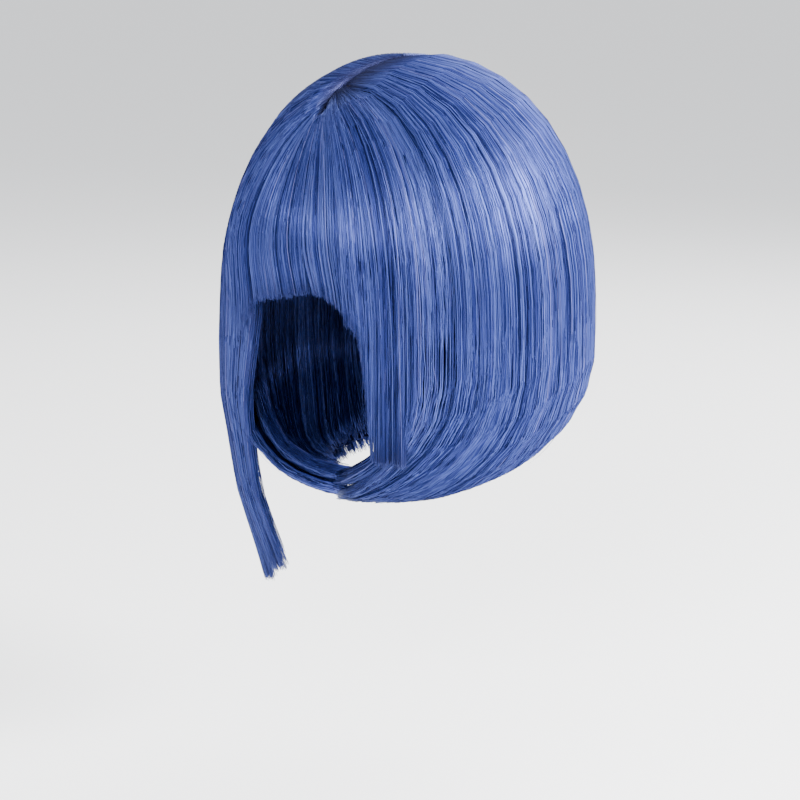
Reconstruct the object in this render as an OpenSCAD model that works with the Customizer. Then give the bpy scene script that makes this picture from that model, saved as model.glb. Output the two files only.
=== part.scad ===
// Costume wig: a short bob with a blunt fringe and two face-framing locks,
// one cut at the chin and one long, sewn in rows to a stretch-net cap.
// Origin: where the top of the wearer's head touches the cap. +Z up, the face looks along -Y,
// the wearer's left is +X. Millimetres.

/* [Head] */
// Width of the head form at the hat line
head_w = 154; // [150:1:158]
// Depth of the head form at the hat line
head_d = 192; // [188:1:196]
// Height of the crown above the hat line
head_h = 95; // [93:1:97]

/* [Bob] */
// Width of the hair at its widest
hair_w = 200; // [198:1:208]
// Depth of the hair at its widest
hair_d = 242; // [240:1:250]
// How far the hair's centre lies behind the head's centre
hair_back = 5; // [4:0.5:6]
// Height of the hair above the crown of the head
lift = 13; // [13:0.5:15]
// Drop from the crown to where the hair is widest
widest_drop = 134; // [130:1:138]
// Drop from the crown to where the hair starts to curl under
curl_drop = 160; // [156:1:164]
// Height of the curl under, which ends in the hem
curl_h = 78; // [74:1:82]
// Share of the half width that the curl turns inwards
curl_in = 0.54; // [0.50:0.01:0.56]
// Thickness of the crown's hair
crown_t = 5; // [4:0.5:5]
// Thickness of the outer layer of hair below the crown
outer_t = 10; // [9:0.5:10]
// Thickness of the under layer of hair
under_t = 7; // [6:0.5:8]

/* [Fringe and locks] */
// Angle of the fringe to each side of the face's centre
fringe_angle = 28; // [26:0.5:28]
// Drop from the crown to the fringe's cut edge
fringe_drop = 119; // [114:1:122]
// Thickness of the fringe
fringe_t = 8; // [6:0.5:8]
// Angle at a lock's front edge
lock_front = 29.5; // [29:0.5:30]
// Angle at a lock's back edge
lock_back = 58; // [56:0.5:58]
// Thickness of a lock
lock_t = 7; // [5:0.5:7]
// Drop from the crown to the cut edge of the left lock
short_drop = 207; // [200:1:210]
// Share by which the left lock's front edge is tucked in to the cheek
short_tuck = 0.08; // [0:0.01:0.12]
// Drop from the crown to the tip of the right lock
long_drop = 297; // [280:1:310]
// How far the long lock's tip drifts inwards
long_drift = 22; // [0:1:24]
// Share by which the right lock's front edge is tucked in to the cheek
long_tuck = 0.2; // [0:0.01:0.22]

/* [Cap] */
// Thickness of the stretch net
net_t = 1; // [0.8:0.1:1]
// Height of a sewn weft's header tape
weft_h = 2.6; // [2:0.1:3]
// Number of sewn weft rows round the back
weft_rows = 8; // [8:1:8]
// Drop from the crown to the first weft row
weft_first = 52; // [50:1:54]
// Distance from one weft row to the next
weft_pitch = 10; // [9:0.5:10]
// Width of a lengthwise cap rib
rib_w = 8; // [6:1:10]

/* [Nape adjusters] */
// Inner radius of the nape band
band_r = 61; // [60:0.5:62]
// Height of the nape band
band_h = 21; // [20:1:22]
// Angle of each grip tab along the band
tab_angle = 12; // [10:1:12]
// Angle from the band's middle to a grip tab's near edge
tab_from = 24; // [23:1:25]

/* [Hidden] */
$fn = 96;
seam = 0.8;                    // air between the net's edge and the bands sewn to it
head_n = 2.3;                  // roundness exponent of the head's dome
hair_n = 2.2;                  // roundness exponent of the hair's dome
nape_run = 57;                 // height of the head form below the hat line
nape_in = 0.2;                 // share by which the head narrows over that height
hair_a = hair_w / 2;
hair_b = hair_d / 2;
dome_h = widest_drop + lift;   // height of the hair's dome
curl_end = 80;                 // angle at which the curl ends
hem_left = [46, 2.5];          // forward swing of the left hem's front in degrees, and how late it comes
hem_right = [62, 3];           // the same on the right, where the hem runs on under the chin
$hem = hem_left;
sweep_from = 118;              // angle behind which the hem doesn't swing
side_front = 61;               // angle at a side panel's front edge
side_back = 117.8;             // angle at a side panel's back edge
back_front = 118.2;            // angle at the back panel's edge
part_front = -72;              // front end of the parting along Y
part_back = 22;                // back end of the parting along Y
part_half = 1.2;               // half the width of the parting's groove
crown_t_end = 0.61;            // profile place of the crown's lower edge
hang_t = 0.62;                 // profile place where the fringe and locks hang from
tuck_run = 55;                 // height over which a lock's tuck comes in
drift_from = 190;              // drop at which the long lock starts to drift
lap_angle = 66;                // angle to each side that the nape band spans
band_y = head_d / 2 * 0.93 - band_r;   // centre of the nape band's arc
band_top = -131.5;             // top edge of the nape band
weft_off = net_t + 0.2;        // height of a weft's back above the head
weft_t = 1.2;                  // thickness of a weft's header tape
front_weft_drop = 34;          // drop of the fringe's weft
temple_weft_drop = 46;         // drop of the locks' wefts
patch_t = 0.9;                 // thickness of the scalp patch
patch_half = 26;               // half the width of the scalp patch
tab_t = 1.2;                   // thickness of a grip tab and its pad
strap_h = 9;                   // height of an adjuster strap
tab_h = 12;                    // height of a grip tab and its pad
label_half = 6.5;              // half the angle the label spans
label_top = -110;              // height of the label's top edge
label_h = 13;                  // height of the label

// Lower edge of the net and of the cap's bands: angle from the face, then height.
net_edge = [[0, -36], [50, -42], [62, -60], [108, -84], [124, -126], [180, -129]];
rim_edge = [[0, -48], [50, -56], [64, -84], [76, -112], [84, -112], [96, -98], [112, -108], [126, -150],
            [180, -150]];
rib_angles = [104, 142, 180, 218, 256];
rib_names = ["rib_left", "rib_rear_left", "rib_back", "rib_rear_right", "rib_right"];
weft_names = [for (i = [1:weft_rows]) str("weft_row_", i)];

hair_blue = [0.22, 0.38, 0.72];
under_blue = [0.15, 0.26, 0.55];
net_blue = [0.13, 0.17, 0.30];
tape_blue = [0.18, 0.24, 0.42];

// ---------- places on the head form and on the hair ----------

// Profile place on the head form of a height z. 0 is the crown and 1 the hat line.
function head_place(z) = z > -head_h
    ? acos(pow((z + head_h) / head_h, head_n / 2)) / 90
    : 1 + (-head_h - z) / nape_run;

// Point at angle phi and profile place t, off millimetres above the head form.
function head_pt(phi, t, off) =
    let (bend = 90 * min(t, 1),
         down = max(t - 1, 0),
         f = t < 1 ? pow(sin(bend), 2 / head_n) : 1 - nape_in * down * down,
         reach = off * sin(bend))
    [(head_w / 2 * f + reach) * sin(phi),
     -(head_d / 2 * f + reach) * cos(phi),
     -head_h + head_h * pow(cos(bend), 2 / head_n) + off * cos(bend) - down * nape_run];

// How far the hem swings forward at angle phi when the curl has turned by turn.
function swing(phi, turn) =
    $hem[0] * max(0, (sweep_from - phi) / (sweep_from - side_front)) * pow(turn / curl_end, $hem[1]);

// Point of the hair at angle phi and profile place t, depth millimetres inside its surface.
// 0 to 1 is the dome, 1 to 2 the straight fall, 2 to 3 the curl under.
function hair_pt(phi, t, depth) =
    let (bend = 90 * min(t, 1),
         turn = curl_end * max(t - 2, 0),
         fall = min(max(t - 1, 0), 1) * (curl_drop - widest_drop),
         f = t < 1 ? pow(sin(bend), 2 / hair_n) : 1 - curl_in * (1 - cos(turn)),
         reach = depth * (t < 1 ? sin(bend) : cos(turn)),
         rise = t < 1 ? -depth * cos(bend) : depth * sin(turn),
         a = phi - swing(phi, turn))
    [(hair_a * f - reach) * sin(a),
     hair_back - (hair_b * f - reach) * cos(a),
     -widest_drop + dome_h * pow(cos(bend), 2 / hair_n) - fall - curl_h * sin(turn) + rise];

// Point of a lock: the hair's dome at first, then straight down to the drop z_end.
function lock_pt(phi, t, depth, z_end, drift, tuck) =
    t <= 1 ? hair_pt(phi, t, depth)
    : let (drop = widest_drop + (t - 1) * (z_end - widest_drop),
           inward = tuck * pow((lock_back - phi) / (lock_back - lock_front), 1.5)
                    * min((drop - widest_drop) / tuck_run, 1),
           late = max(drop - drift_from, 0) / (z_end - drift_from),
           narrow = depth * (1 - 0.35 * (t - 1)))
      [(hair_a * (1 - inward) - narrow) * sin(phi) - drift * pow(late, 1.6),
       hair_back - (hair_b * (1 - inward) - narrow) * cos(phi),
       -drop];

// The hair's angle and profile place over a point [x, y] of the plan.
function over(p) =
    let (u = p.x / hair_a, v = -(p.y - hair_back) / hair_b, r = min(norm([u, v]), 1))
    [atan2(u, v), asin(pow(r, hair_n / 2)) / 90];

// Profile place on the hair's dome of a height z.
function dome_place(z) = acos(pow((z + widest_drop) / dome_h, hair_n / 2)) / 90;

// Plan point where share w of the way runs from the parting to the crown's lower edge.
function crown_plan(s, w) =
    let (end = hair_pt(0.2 + 179.6 * s, crown_t_end, 0),
         start = [part_half, part_front + (part_back - part_front) * s])
    [max(part_half, start.x + (end.x - start.x) * w), start.y + (end.y - start.y) * w];

// ---------- shapes shared by several pieces ----------

// A closed shell between two grids of points, the first one outside.
module shell(outside, inside) {
    rows = len(outside);
    cols = len(outside[0]);
    n = rows * cols;
    function at(i, j) = i * cols + j;
    function strip(a, b, c, d) = [[a, b, c], [a, c, d]];
    points = concat([for (r = outside) each r], [for (r = inside) each r]);
    skins = [for (i = [0:rows - 2], j = [0:cols - 2]) each concat(
        strip(at(i, j), at(i + 1, j), at(i + 1, j + 1), at(i, j + 1)),
        strip(n + at(i, j), n + at(i, j + 1), n + at(i + 1, j + 1), n + at(i + 1, j)))];
    ends = [for (j = [0:cols - 2]) each concat(
        strip(at(0, j), at(0, j + 1), n + at(0, j + 1), n + at(0, j)),
        strip(at(rows - 1, j + 1), at(rows - 1, j), n + at(rows - 1, j), n + at(rows - 1, j + 1)))];
    sides = [for (i = [0:rows - 2]) each concat(
        strip(at(i + 1, 0), at(i, 0), n + at(i, 0), n + at(i + 1, 0)),
        strip(at(i, cols - 1), at(i + 1, cols - 1), n + at(i + 1, cols - 1), n + at(i, cols - 1)))];
    polyhedron(points, concat(skins, ends, sides), convexity = 6);
}

// A patch of hair between two angles and two profile places.
module hair_patch(phi0, phi1, t0, t1, depth0, depth1, n_phi, n_t) {
    grid = function (depth) [for (i = [0:n_phi]) [for (j = [0:n_t])
        hair_pt(phi0 + (phi1 - phi0) * i / n_phi, t0 + (t1 - t0) * j / n_t, depth)]];
    shell(grid(depth0), grid(depth1));
}

// A patch of cap between two angles and two edges, each a function of the angle that gives a height.
module cap_patch(phi0, phi1, top, bottom, off0, off1, n_phi, n_t) {
    grid = function (off) [for (i = [0:n_phi])
        let (phi = phi0 + (phi1 - phi0) * i / n_phi, t0 = head_place(top(phi)), t1 = head_place(bottom(phi)))
        [for (j = [0:n_t]) head_pt(phi, t0 + (t1 - t0) * j / n_t, off)]];
    shell(grid(off1), grid(off0));
}

// An arc of band round the nape's centre, from one angle to another off the middle of the back.
module nape_arc(r0, r1, z0, h, from, to)
    translate([0, band_y, z0]) rotate([0, 0, 90 - to])
        rotate_extrude(angle = to - from) translate([r0, 0]) square([r1 - r0, h]);

// ---------- the cap ----------

module cap_net() {
    n_phi = 60;
    n_t = 13;
    // The angle wraps round, so the left half's edge serves both sides.
    function edge(phi) = lookup(phi > 180 ? 360 - phi : phi, net_edge) + seam;
    function ring(j, off) = [for (i = [0:n_phi - 1])
        let (phi = 360 * i / n_phi) head_pt(phi, head_place(edge(phi)) * j / n_t, off)];
    function skin(first, flip) = concat(
        [for (i = [0:n_phi - 1]) let (k = (i + 1) % n_phi)
            flip ? [first, first + 1 + k, first + 1 + i] : [first, first + 1 + i, first + 1 + k]],
        [for (j = [0:n_t - 2], i = [0:n_phi - 1])
            let (k = (i + 1) % n_phi, a = first + 1 + j * n_phi + i, b = first + 1 + j * n_phi + k,
                 c = b + n_phi, d = a + n_phi)
            each flip ? [[a, b, c], [a, c, d]] : [[a, c, b], [a, d, c]]]);
    half = 1 + n_phi * n_t;
    last = 1 + n_phi * (n_t - 1);
    points = concat([head_pt(0, 0, net_t)], [for (j = [1:n_t]) each ring(j, net_t)],
                    [head_pt(0, 0, 0)], [for (j = [1:n_t]) each ring(j, 0)]);
    rim = [for (i = [0:n_phi - 1])
        let (k = (i + 1) % n_phi, a = last + i, b = last + k)
        each [[a, b, half + b], [a, half + b, half + a]]];
    color(net_blue) polyhedron(points, concat(skin(0, true), skin(half, false), rim), convexity = 6);
}

module scalp_patch() {
    n = 14;
    m = 8;
    front = part_front + 8;
    back = part_back + 6;
    function spot(i, j, off) =
        let (x = patch_half * (2 * j / m - 1), y = front + (back - front) * i / n,
             u = x / (head_w / 2), v = -y / (head_d / 2), r = norm([u, v]))
        head_pt(atan2(u, v), asin(pow(r, head_n / 2)) / 90, off);
    function grid(off) = [for (i = [0:n]) [for (j = [0:m]) spot(i, j, off)]];
    color([0.55, 0.56, 0.62]) shell(grid(net_t + 0.15 + patch_t), grid(net_t + 0.15));
}

module forehead_band()
    color(tape_blue)
        cap_patch(-50, 50, function (p) lookup(abs(p), net_edge) - seam,
                  function (p) lookup(abs(p), rim_edge), 0, 1.2, 24, 2);

module ear_tab_left()
    color(tape_blue)
        cap_patch(50.4, 126, function (p) lookup(p, net_edge) - seam,
                  function (p) min(lookup(p, rim_edge), lookup(p, net_edge) - 4), 0, 1.2, 26, 3);

module ear_tab_right() mirror([1, 0, 0]) ear_tab_left();

module nape_band()
    color(tape_blue)
        nape_arc(band_r, band_r + 1.2, band_top - band_h, band_h, -lap_angle + 2, lap_angle - 2);

// Rib number k, an elastic tape inside the net from the crown to the rim.
module rib(k) {
    phi = rib_angles[k];
    n = 14;
    side = phi > 180 ? 360 - phi : phi;
    t1 = head_place(lookup(side, net_edge) + 1);
    function spot(i, edge, off) =
        let (t = 0.3 + (t1 - 0.3) * i / n, across = rib_w / 2 / (head_w / 2 * sin(90 * min(t, 1))) * 57.3)
        head_pt(phi + edge * across, t, off);
    function grid(off) = [for (e = [-1:0.5:1]) [for (i = [0:n]) spot(i, e, off)]];
    color(tape_blue) shell(grid(-0.9), grid(-1.6));
}

// A weft's header tape at height z, between two angles.
module weft(z, phi0, phi1, n)
    color(hair_blue * 0.8)
        cap_patch(phi0, phi1, function (p) z + weft_h / 2, function (p) z - weft_h / 2,
                  weft_off, weft_off + weft_t, n, 1);

// Weft row k round the back, from ear to ear. The lowest rows end behind the ears.
module weft_row(k) {
    z = -weft_first - weft_pitch * k;
    reach = z > -62 ? 70 : z > -82 ? 100 : z > -102 ? 116 : 122;
    weft(z, reach, 360 - reach, 34);
}

module fringe_weft() weft(-front_weft_drop + 2, -40, 40, 16);

module temple_weft_left() weft(-temple_weft_drop, 56, 68, 6);

module temple_weft_right() mirror([1, 0, 0]) temple_weft_left();

// The blank woven label, sewn over the back rib.
module size_label()
    color([0.9, 0.9, 0.92])
        cap_patch(180 - label_half, 180 + label_half, function (p) label_top, function (p) label_top - label_h,
                  -2.5, -2, 8, 2);

// ---------- the nape adjusters ----------

pad_mid = band_top - band_h / 2;

module grip_pad_left()
    color([0.10, 0.11, 0.15])
        nape_arc(band_r - 0.2 - tab_t, band_r - 0.2, pad_mid - tab_h / 2, tab_h, 2, tab_from + tab_angle + 6);

module grip_pad_right() mirror([1, 0, 0]) grip_pad_left();

module grip_tab_left()
    color([0.12, 0.13, 0.18])
        nape_arc(band_r - 0.6 - 2 * tab_t, band_r - 0.6 - tab_t, pad_mid - tab_h / 2, tab_h,
                 tab_from, tab_from + tab_angle);

module grip_tab_right() mirror([1, 0, 0]) grip_tab_left();

module strap_left()
    color([0.16, 0.17, 0.22])
        nape_arc(band_r - 0.5 - 2 * tab_t, band_r - 1 - tab_t, pad_mid - strap_h / 2, strap_h,
                 tab_from + tab_angle + 0.4, lap_angle - 9);

module strap_right() mirror([1, 0, 0]) strap_left();

// The folded strap end, sewn through to the nape band.
module strap_anchor_left()
    color([0.16, 0.17, 0.22])
        nape_arc(band_r - 3.4, band_r - 0.2, pad_mid - strap_h / 2, strap_h, lap_angle - 8.6, lap_angle - 4);

module strap_anchor_right() mirror([1, 0, 0]) strap_anchor_left();

// ---------- the hair ----------

module crown_left() {
    n = 30;
    m = 10;
    function grid(depth) = [for (i = [0:n]) [for (j = [0:m])
        let (o = over(crown_plan(i / n, j / m))) hair_pt(o[0], min(o[1], crown_t_end), depth)]];
    color(hair_blue) shell(grid(0), grid(crown_t));
}

module crown_right() mirror([1, 0, 0]) crown_left();

module side_left()
    color(hair_blue) hair_patch(side_front, side_back, hang_t, 3, 0, outer_t, 12, 20);

module side_right() {
  $hem = hem_right;
  mirror([1, 0, 0]) side_left();
}

module back_panel()
    color(hair_blue) hair_patch(back_front, 360 - back_front, hang_t, 3, 0, outer_t, 24, 20);

module under_left()
    color(under_blue)
        hair_patch(side_front + 8, side_back, 0.86, 3, outer_t + 0.5, outer_t + 0.5 + under_t, 12, 16);

module under_right() {
  $hem = hem_right;
  mirror([1, 0, 0]) under_left();
}

module under_back()
    color(under_blue)
        hair_patch(back_front, 360 - back_front, 0.86, 3, outer_t + 0.5, outer_t + 0.5 + under_t, 24, 16);

module fringe()
    color(hair_blue)
        hair_patch(-fringe_angle, fringe_angle, hang_t, dome_place(-fringe_drop), 0, fringe_t, 18, 10);

module lock(drop, drift, tuck) {
    n = 8;
    m = 18;
    function grid(depth) = [for (i = [0:n]) [for (j = [0:m])
        lock_pt(lock_front + (lock_back - lock_front) * i / n, hang_t + (2 - hang_t) * j / m,
                depth, drop, drift, tuck)]];
    color(hair_blue) shell(grid(0), grid(lock_t));
}

module short_lock() lock(short_drop, 0, short_tuck);

module long_lock() mirror([1, 0, 0]) lock(long_drop, long_drift, long_tuck);

// ---------- what is drawn ----------

cap_net();
scalp_patch();
forehead_band();
nape_band();
ear_tab_left();
ear_tab_right();
for (k = [0:len(rib_names) - 1])
    rib(k);
for (k = [0:weft_rows - 1])
    weft_row(k);
fringe_weft();
temple_weft_left();
temple_weft_right();
grip_pad_left();
grip_pad_right();
grip_tab_left();
grip_tab_right();
strap_left();
strap_right();
strap_anchor_left();
strap_anchor_right();
size_label();
crown_left();
crown_right();
side_left();
side_right();
back_panel();
under_left();
under_right();
under_back();
fringe();
short_lock();
long_lock();
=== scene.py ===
"""Costume wig: a blue bob with a blunt fringe and two face-framing locks, on a stretch-net cap."""
import logging
import math
from dataclasses import dataclass, field
from enum import Enum

import bpy
import numpy as np
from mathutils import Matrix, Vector


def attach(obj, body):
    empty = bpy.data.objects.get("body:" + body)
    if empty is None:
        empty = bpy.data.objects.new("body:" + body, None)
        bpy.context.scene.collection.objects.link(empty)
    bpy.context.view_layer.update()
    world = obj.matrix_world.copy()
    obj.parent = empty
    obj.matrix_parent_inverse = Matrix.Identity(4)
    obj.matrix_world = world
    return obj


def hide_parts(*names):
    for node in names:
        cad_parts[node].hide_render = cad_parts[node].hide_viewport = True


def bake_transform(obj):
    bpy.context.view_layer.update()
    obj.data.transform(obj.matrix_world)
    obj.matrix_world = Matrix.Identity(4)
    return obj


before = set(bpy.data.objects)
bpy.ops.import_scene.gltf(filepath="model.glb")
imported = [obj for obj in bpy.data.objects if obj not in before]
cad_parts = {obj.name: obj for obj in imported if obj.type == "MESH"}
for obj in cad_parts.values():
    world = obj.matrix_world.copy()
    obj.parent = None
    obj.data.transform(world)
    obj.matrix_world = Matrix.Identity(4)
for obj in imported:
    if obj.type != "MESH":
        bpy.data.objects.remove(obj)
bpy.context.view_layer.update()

logging.basicConfig(level=logging.INFO, format="%(message)s")
log = logging.getLogger("wig")

TONE = "strand_tone"
ALONG = "strand_along"
BAKE_MAP = "OFBake"

WIDE_WAVES = (7.0, 13.0, 19.0)
CLUMP_WAVES = (61.0, 97.0, 143.0, 211.0)
SURFACE_WAVES = (23.0, 41.0, 83.0)
COVER_SAMPLES = 30
COVER_PULL = 0.22
DOME_SAMPLES = 40
FALL_SAMPLES = 30


class Side(Enum):
    """The wearer's left or right, as the sign of X."""

    LEFT = 1
    RIGHT = -1


# ---------------------------------------------------------------------------------------------
# The forms that the pieces follow


def smooth(x: np.ndarray, low: float, high: float) -> np.ndarray:
    """Ease from 0 at low to 1 at high."""
    t = np.clip((x - low) / (high - low), 0.0, 1.0)
    return t * t * (3.0 - 2.0 * t)


def ripple(x: np.ndarray, seed: int, waves: tuple[float, ...]) -> np.ndarray:
    """Sum of sines of an angle or length, between about -1 and 1.

    Args:
        x: where to read the ripple.
        seed: picks the phases.
        waves: how many radians of sine pass for each unit of x, one value a wave.

    Returns:
        The ripple at each x.
    """
    phases = np.random.default_rng(seed).uniform(0.0, math.tau, len(waves))
    total = sum(np.sin(x * w + p) for w, p in zip(waves, phases))
    return total / math.sqrt(len(waves)) * 0.8


@dataclass(frozen=True)
class HairForm:
    """The outside of the bob. Angles are from the face towards the wearer's left, in radians."""

    half_width: float = 0.100
    half_depth: float = 0.121
    centre_y: float = 0.005
    lift: float = 0.013
    widest_drop: float = 0.134
    curl_drop: float = 0.160
    curl_height: float = 0.078
    curl_in: float = 0.54
    curl_turn: float = math.radians(80)
    back_in: float = 0.06
    back_lift: float = 0.012
    back_from: float = 1.3
    back_full: float = 2.2
    roundness: float = 2.2
    sweep_left: float = math.radians(52)
    sweep_right: float = math.radians(85)
    tuck_right: float = 0.13
    late_left: float = 2.1
    late_right: float = 3.0
    sweep_back: float = math.radians(118)
    sweep_front: float = math.radians(61)

    def forward(self, phi: np.ndarray) -> np.ndarray:
        """How much of the hem's forward swing an angle gets: all at the front edge, none at the back."""
        return np.clip((self.sweep_back - np.abs(phi)) / (self.sweep_back - self.sweep_front), 0.0, 1.0)

    def swing(self, phi: np.ndarray, turn: np.ndarray) -> np.ndarray:
        """How far the hem swings forward.

        Args:
            phi: angle from the face.
            turn: how far round the curl has come there.

        Returns:
            The swing, with the sign of the side it is on.
        """
        share = self.forward(phi)
        sweep = np.where(phi > 0, self.sweep_left, self.sweep_right)
        late = np.where(phi > 0, self.late_left, self.late_right)
        return np.sign(phi) * sweep * share * (turn / self.curl_turn) ** late

    def point(self, phi: np.ndarray, place: np.ndarray, depth: np.ndarray) -> np.ndarray:
        """Points of the hair.

        Args:
            phi: angle from the face.
            place: 0 to 1 over the dome, 1 to 2 down the straight fall, 2 to 3 round the curl.
            depth: how far inside the form's surface.

        Returns:
            An array of points, one longer in its last axis than phi.
        """
        bend = np.minimum(place, 1.0) * (math.pi / 2)
        turn = self.curl_turn * np.maximum(place - 2.0, 0.0)
        fall = np.clip(place - 1.0, 0.0, 1.0) * (self.curl_drop - self.widest_drop)
        dome = place < 1.0
        sin, cos = np.sin(bend), np.maximum(np.cos(bend), 0.0)
        behind = smooth(np.abs((phi + math.pi) % math.tau - math.pi), self.back_from, self.back_full)
        curl_in = self.curl_in + self.back_in * behind
        share = np.where(dome, sin ** (2 / self.roundness), 1.0 - curl_in * (1.0 - np.cos(turn)))
        reach = depth * np.where(dome, sin, np.cos(turn))
        rise = np.where(dome, -depth * cos, depth * np.sin(turn))
        angle = phi - self.swing(phi, turn)
        tuck = self.tuck_right * self.forward(phi) * (phi < 0) * (1.0 - np.cos(turn))
        share = share - np.where(dome, 0.0, tuck)
        height = (self.widest_drop + self.lift) * cos ** (2 / self.roundness)
        return np.stack([
            (self.half_width * share - reach) * np.sin(angle),
            self.centre_y - (self.half_depth * share - reach) * np.cos(angle),
            -self.widest_drop + height - fall
            - (self.curl_height - self.back_lift * behind) * np.sin(turn) + rise,
        ], axis=-1)

    def over(self, x: np.ndarray, y: np.ndarray) -> tuple[np.ndarray, np.ndarray]:
        """The angle and place over a point of the plan."""
        u, v = x / self.half_width, -(y - self.centre_y) / self.half_depth
        r = np.minimum(np.hypot(u, v), 1.0)
        return np.arctan2(u, v), np.arcsin(r ** (self.roundness / 2)) / (math.pi / 2)

    def ring(self, phi: np.ndarray) -> np.ndarray:
        """The plan point of the form's widest ring at an angle."""
        x, y = self.half_width * np.sin(phi), self.centre_y - self.half_depth * np.cos(phi)
        return np.stack([x, y], axis=-1)

    def place_of(self, z: np.ndarray) -> np.ndarray:
        """The place of a height, above the curl."""
        up = np.clip((z + self.widest_drop) / (self.widest_drop + self.lift), 0.0, 1.0)
        dome = np.arccos(up ** (self.roundness / 2)) / (math.pi / 2)
        fall = 1.0 + (-self.widest_drop - z) / (self.curl_drop - self.widest_drop)
        return np.where(z > -self.widest_drop, dome, fall)


FORM = HairForm()


@dataclass(frozen=True)
class HeadForm:
    """The head that the cap is made on."""

    half_width: float = 0.077
    half_depth: float = 0.096
    height: float = 0.095
    roundness: float = 2.3
    nape_run: float = 0.057
    nape_in: float = 0.2

    def point(self, phi: np.ndarray, z: np.ndarray, off: float) -> np.ndarray:
        """Points on or off the head form.

        Args:
            phi: angle from the face.
            z: height, 0 at the crown.
            off: how far outside the form.

        Returns:
            An array of points.
        """
        up = np.clip((z + self.height) / self.height, 0.0, 1.0)
        bend = np.where(z > -self.height, np.arccos(up ** (self.roundness / 2)), math.pi / 2)
        down = np.maximum(-self.height - z, 0.0) / self.nape_run
        dome = np.sin(bend) ** (2 / self.roundness)
        share = np.where(z > -self.height, dome, 1.0 - self.nape_in * down**2)
        reach = off * np.sin(bend)
        return np.stack([
            (self.half_width * share + reach) * np.sin(phi),
            -(self.half_depth * share + reach) * np.cos(phi),
            z + off * np.cos(bend),
        ], axis=-1)

    def height_of(self, place: np.ndarray) -> np.ndarray:
        """The height of a profile place, 0 at the crown and 1 at the hat line."""
        dome = np.cos(np.minimum(place, 1.0) * (math.pi / 2)) ** (2 / self.roundness)
        return self.height * (dome - 1.0) - np.maximum(place - 1.0, 0.0) * self.nape_run

    def place_of(self, z: np.ndarray) -> np.ndarray:
        """The profile place of a height."""
        up = np.clip((z + self.height) / self.height, 0.0, 1.0)
        dome = np.arccos(up ** (self.roundness / 2)) / (math.pi / 2)
        return np.where(z > -self.height, dome, 1.0 + (-self.height - z) / self.nape_run)


HEAD = HeadForm()


@dataclass(frozen=True)
class CapPlan:
    """The cap's edges: heights by angle from the face, in degrees, and the nape band's arc."""

    net_angles: tuple[float, ...] = (0, 50, 62, 108, 124, 180)
    net_heights: tuple[float, ...] = (-0.036, -0.042, -0.060, -0.084, -0.126, -0.129)
    rim_angles: tuple[float, ...] = (0, 50, 64, 76, 84, 96, 112, 126, 180)
    rim_heights: tuple[float, ...] = (-0.048, -0.056, -0.084, -0.112, -0.112, -0.098, -0.108, -0.150, -0.150)
    seam: float = 0.0008
    first_row: float = -0.052
    row_pitch: float = 0.010
    nape_middle: float = 0.02828

    def net_edge(self, phi: np.ndarray) -> np.ndarray:
        """The net's lower edge at an angle."""
        side = np.degrees(np.abs((phi + math.pi) % math.tau - math.pi))
        return np.interp(side, self.net_angles, self.net_heights)

    def rim(self, phi: np.ndarray) -> np.ndarray:
        """The cap's lower rim at an angle."""
        side = np.degrees(np.abs((phi + math.pi) % math.tau - math.pi))
        return np.interp(side, self.rim_angles, self.rim_heights)

    def row_height(self, row: int | np.ndarray) -> float | np.ndarray:
        """The height of a weft row, counted from 0 at the top."""
        return self.first_row - self.row_pitch * row

    def nape(self, angle: np.ndarray, radius: np.ndarray, z: np.ndarray) -> np.ndarray:
        """A point on the nape's arc, at an angle off the middle of the back."""
        return np.stack([radius * np.sin(angle), self.nape_middle + radius * np.cos(angle), z], axis=-1)


def points_of(mesh: bpy.types.Mesh) -> np.ndarray:
    """A mesh's vertices, one row each."""
    flat = np.empty(len(mesh.vertices) * 3, dtype=np.float32)
    mesh.vertices.foreach_get("co", flat)
    return flat.reshape(-1, 3).astype(float)


def keep_values(mesh: bpy.types.Mesh, name: str, values: np.ndarray) -> None:
    """Store one number for each vertex."""
    mesh.attributes.new(name, "FLOAT", "POINT").data.foreach_set("value", values.astype(np.float32))


def linked(name: str, data: bpy.types.ID) -> bpy.types.Object:
    """A new object in the scene, with its mesh, lamp or camera."""
    obj = bpy.data.objects.new(name, data)
    bpy.context.scene.collection.objects.link(obj)
    return obj


CAP = CapPlan()


# ---------------------------------------------------------------------------------------------
# Finishes


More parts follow.
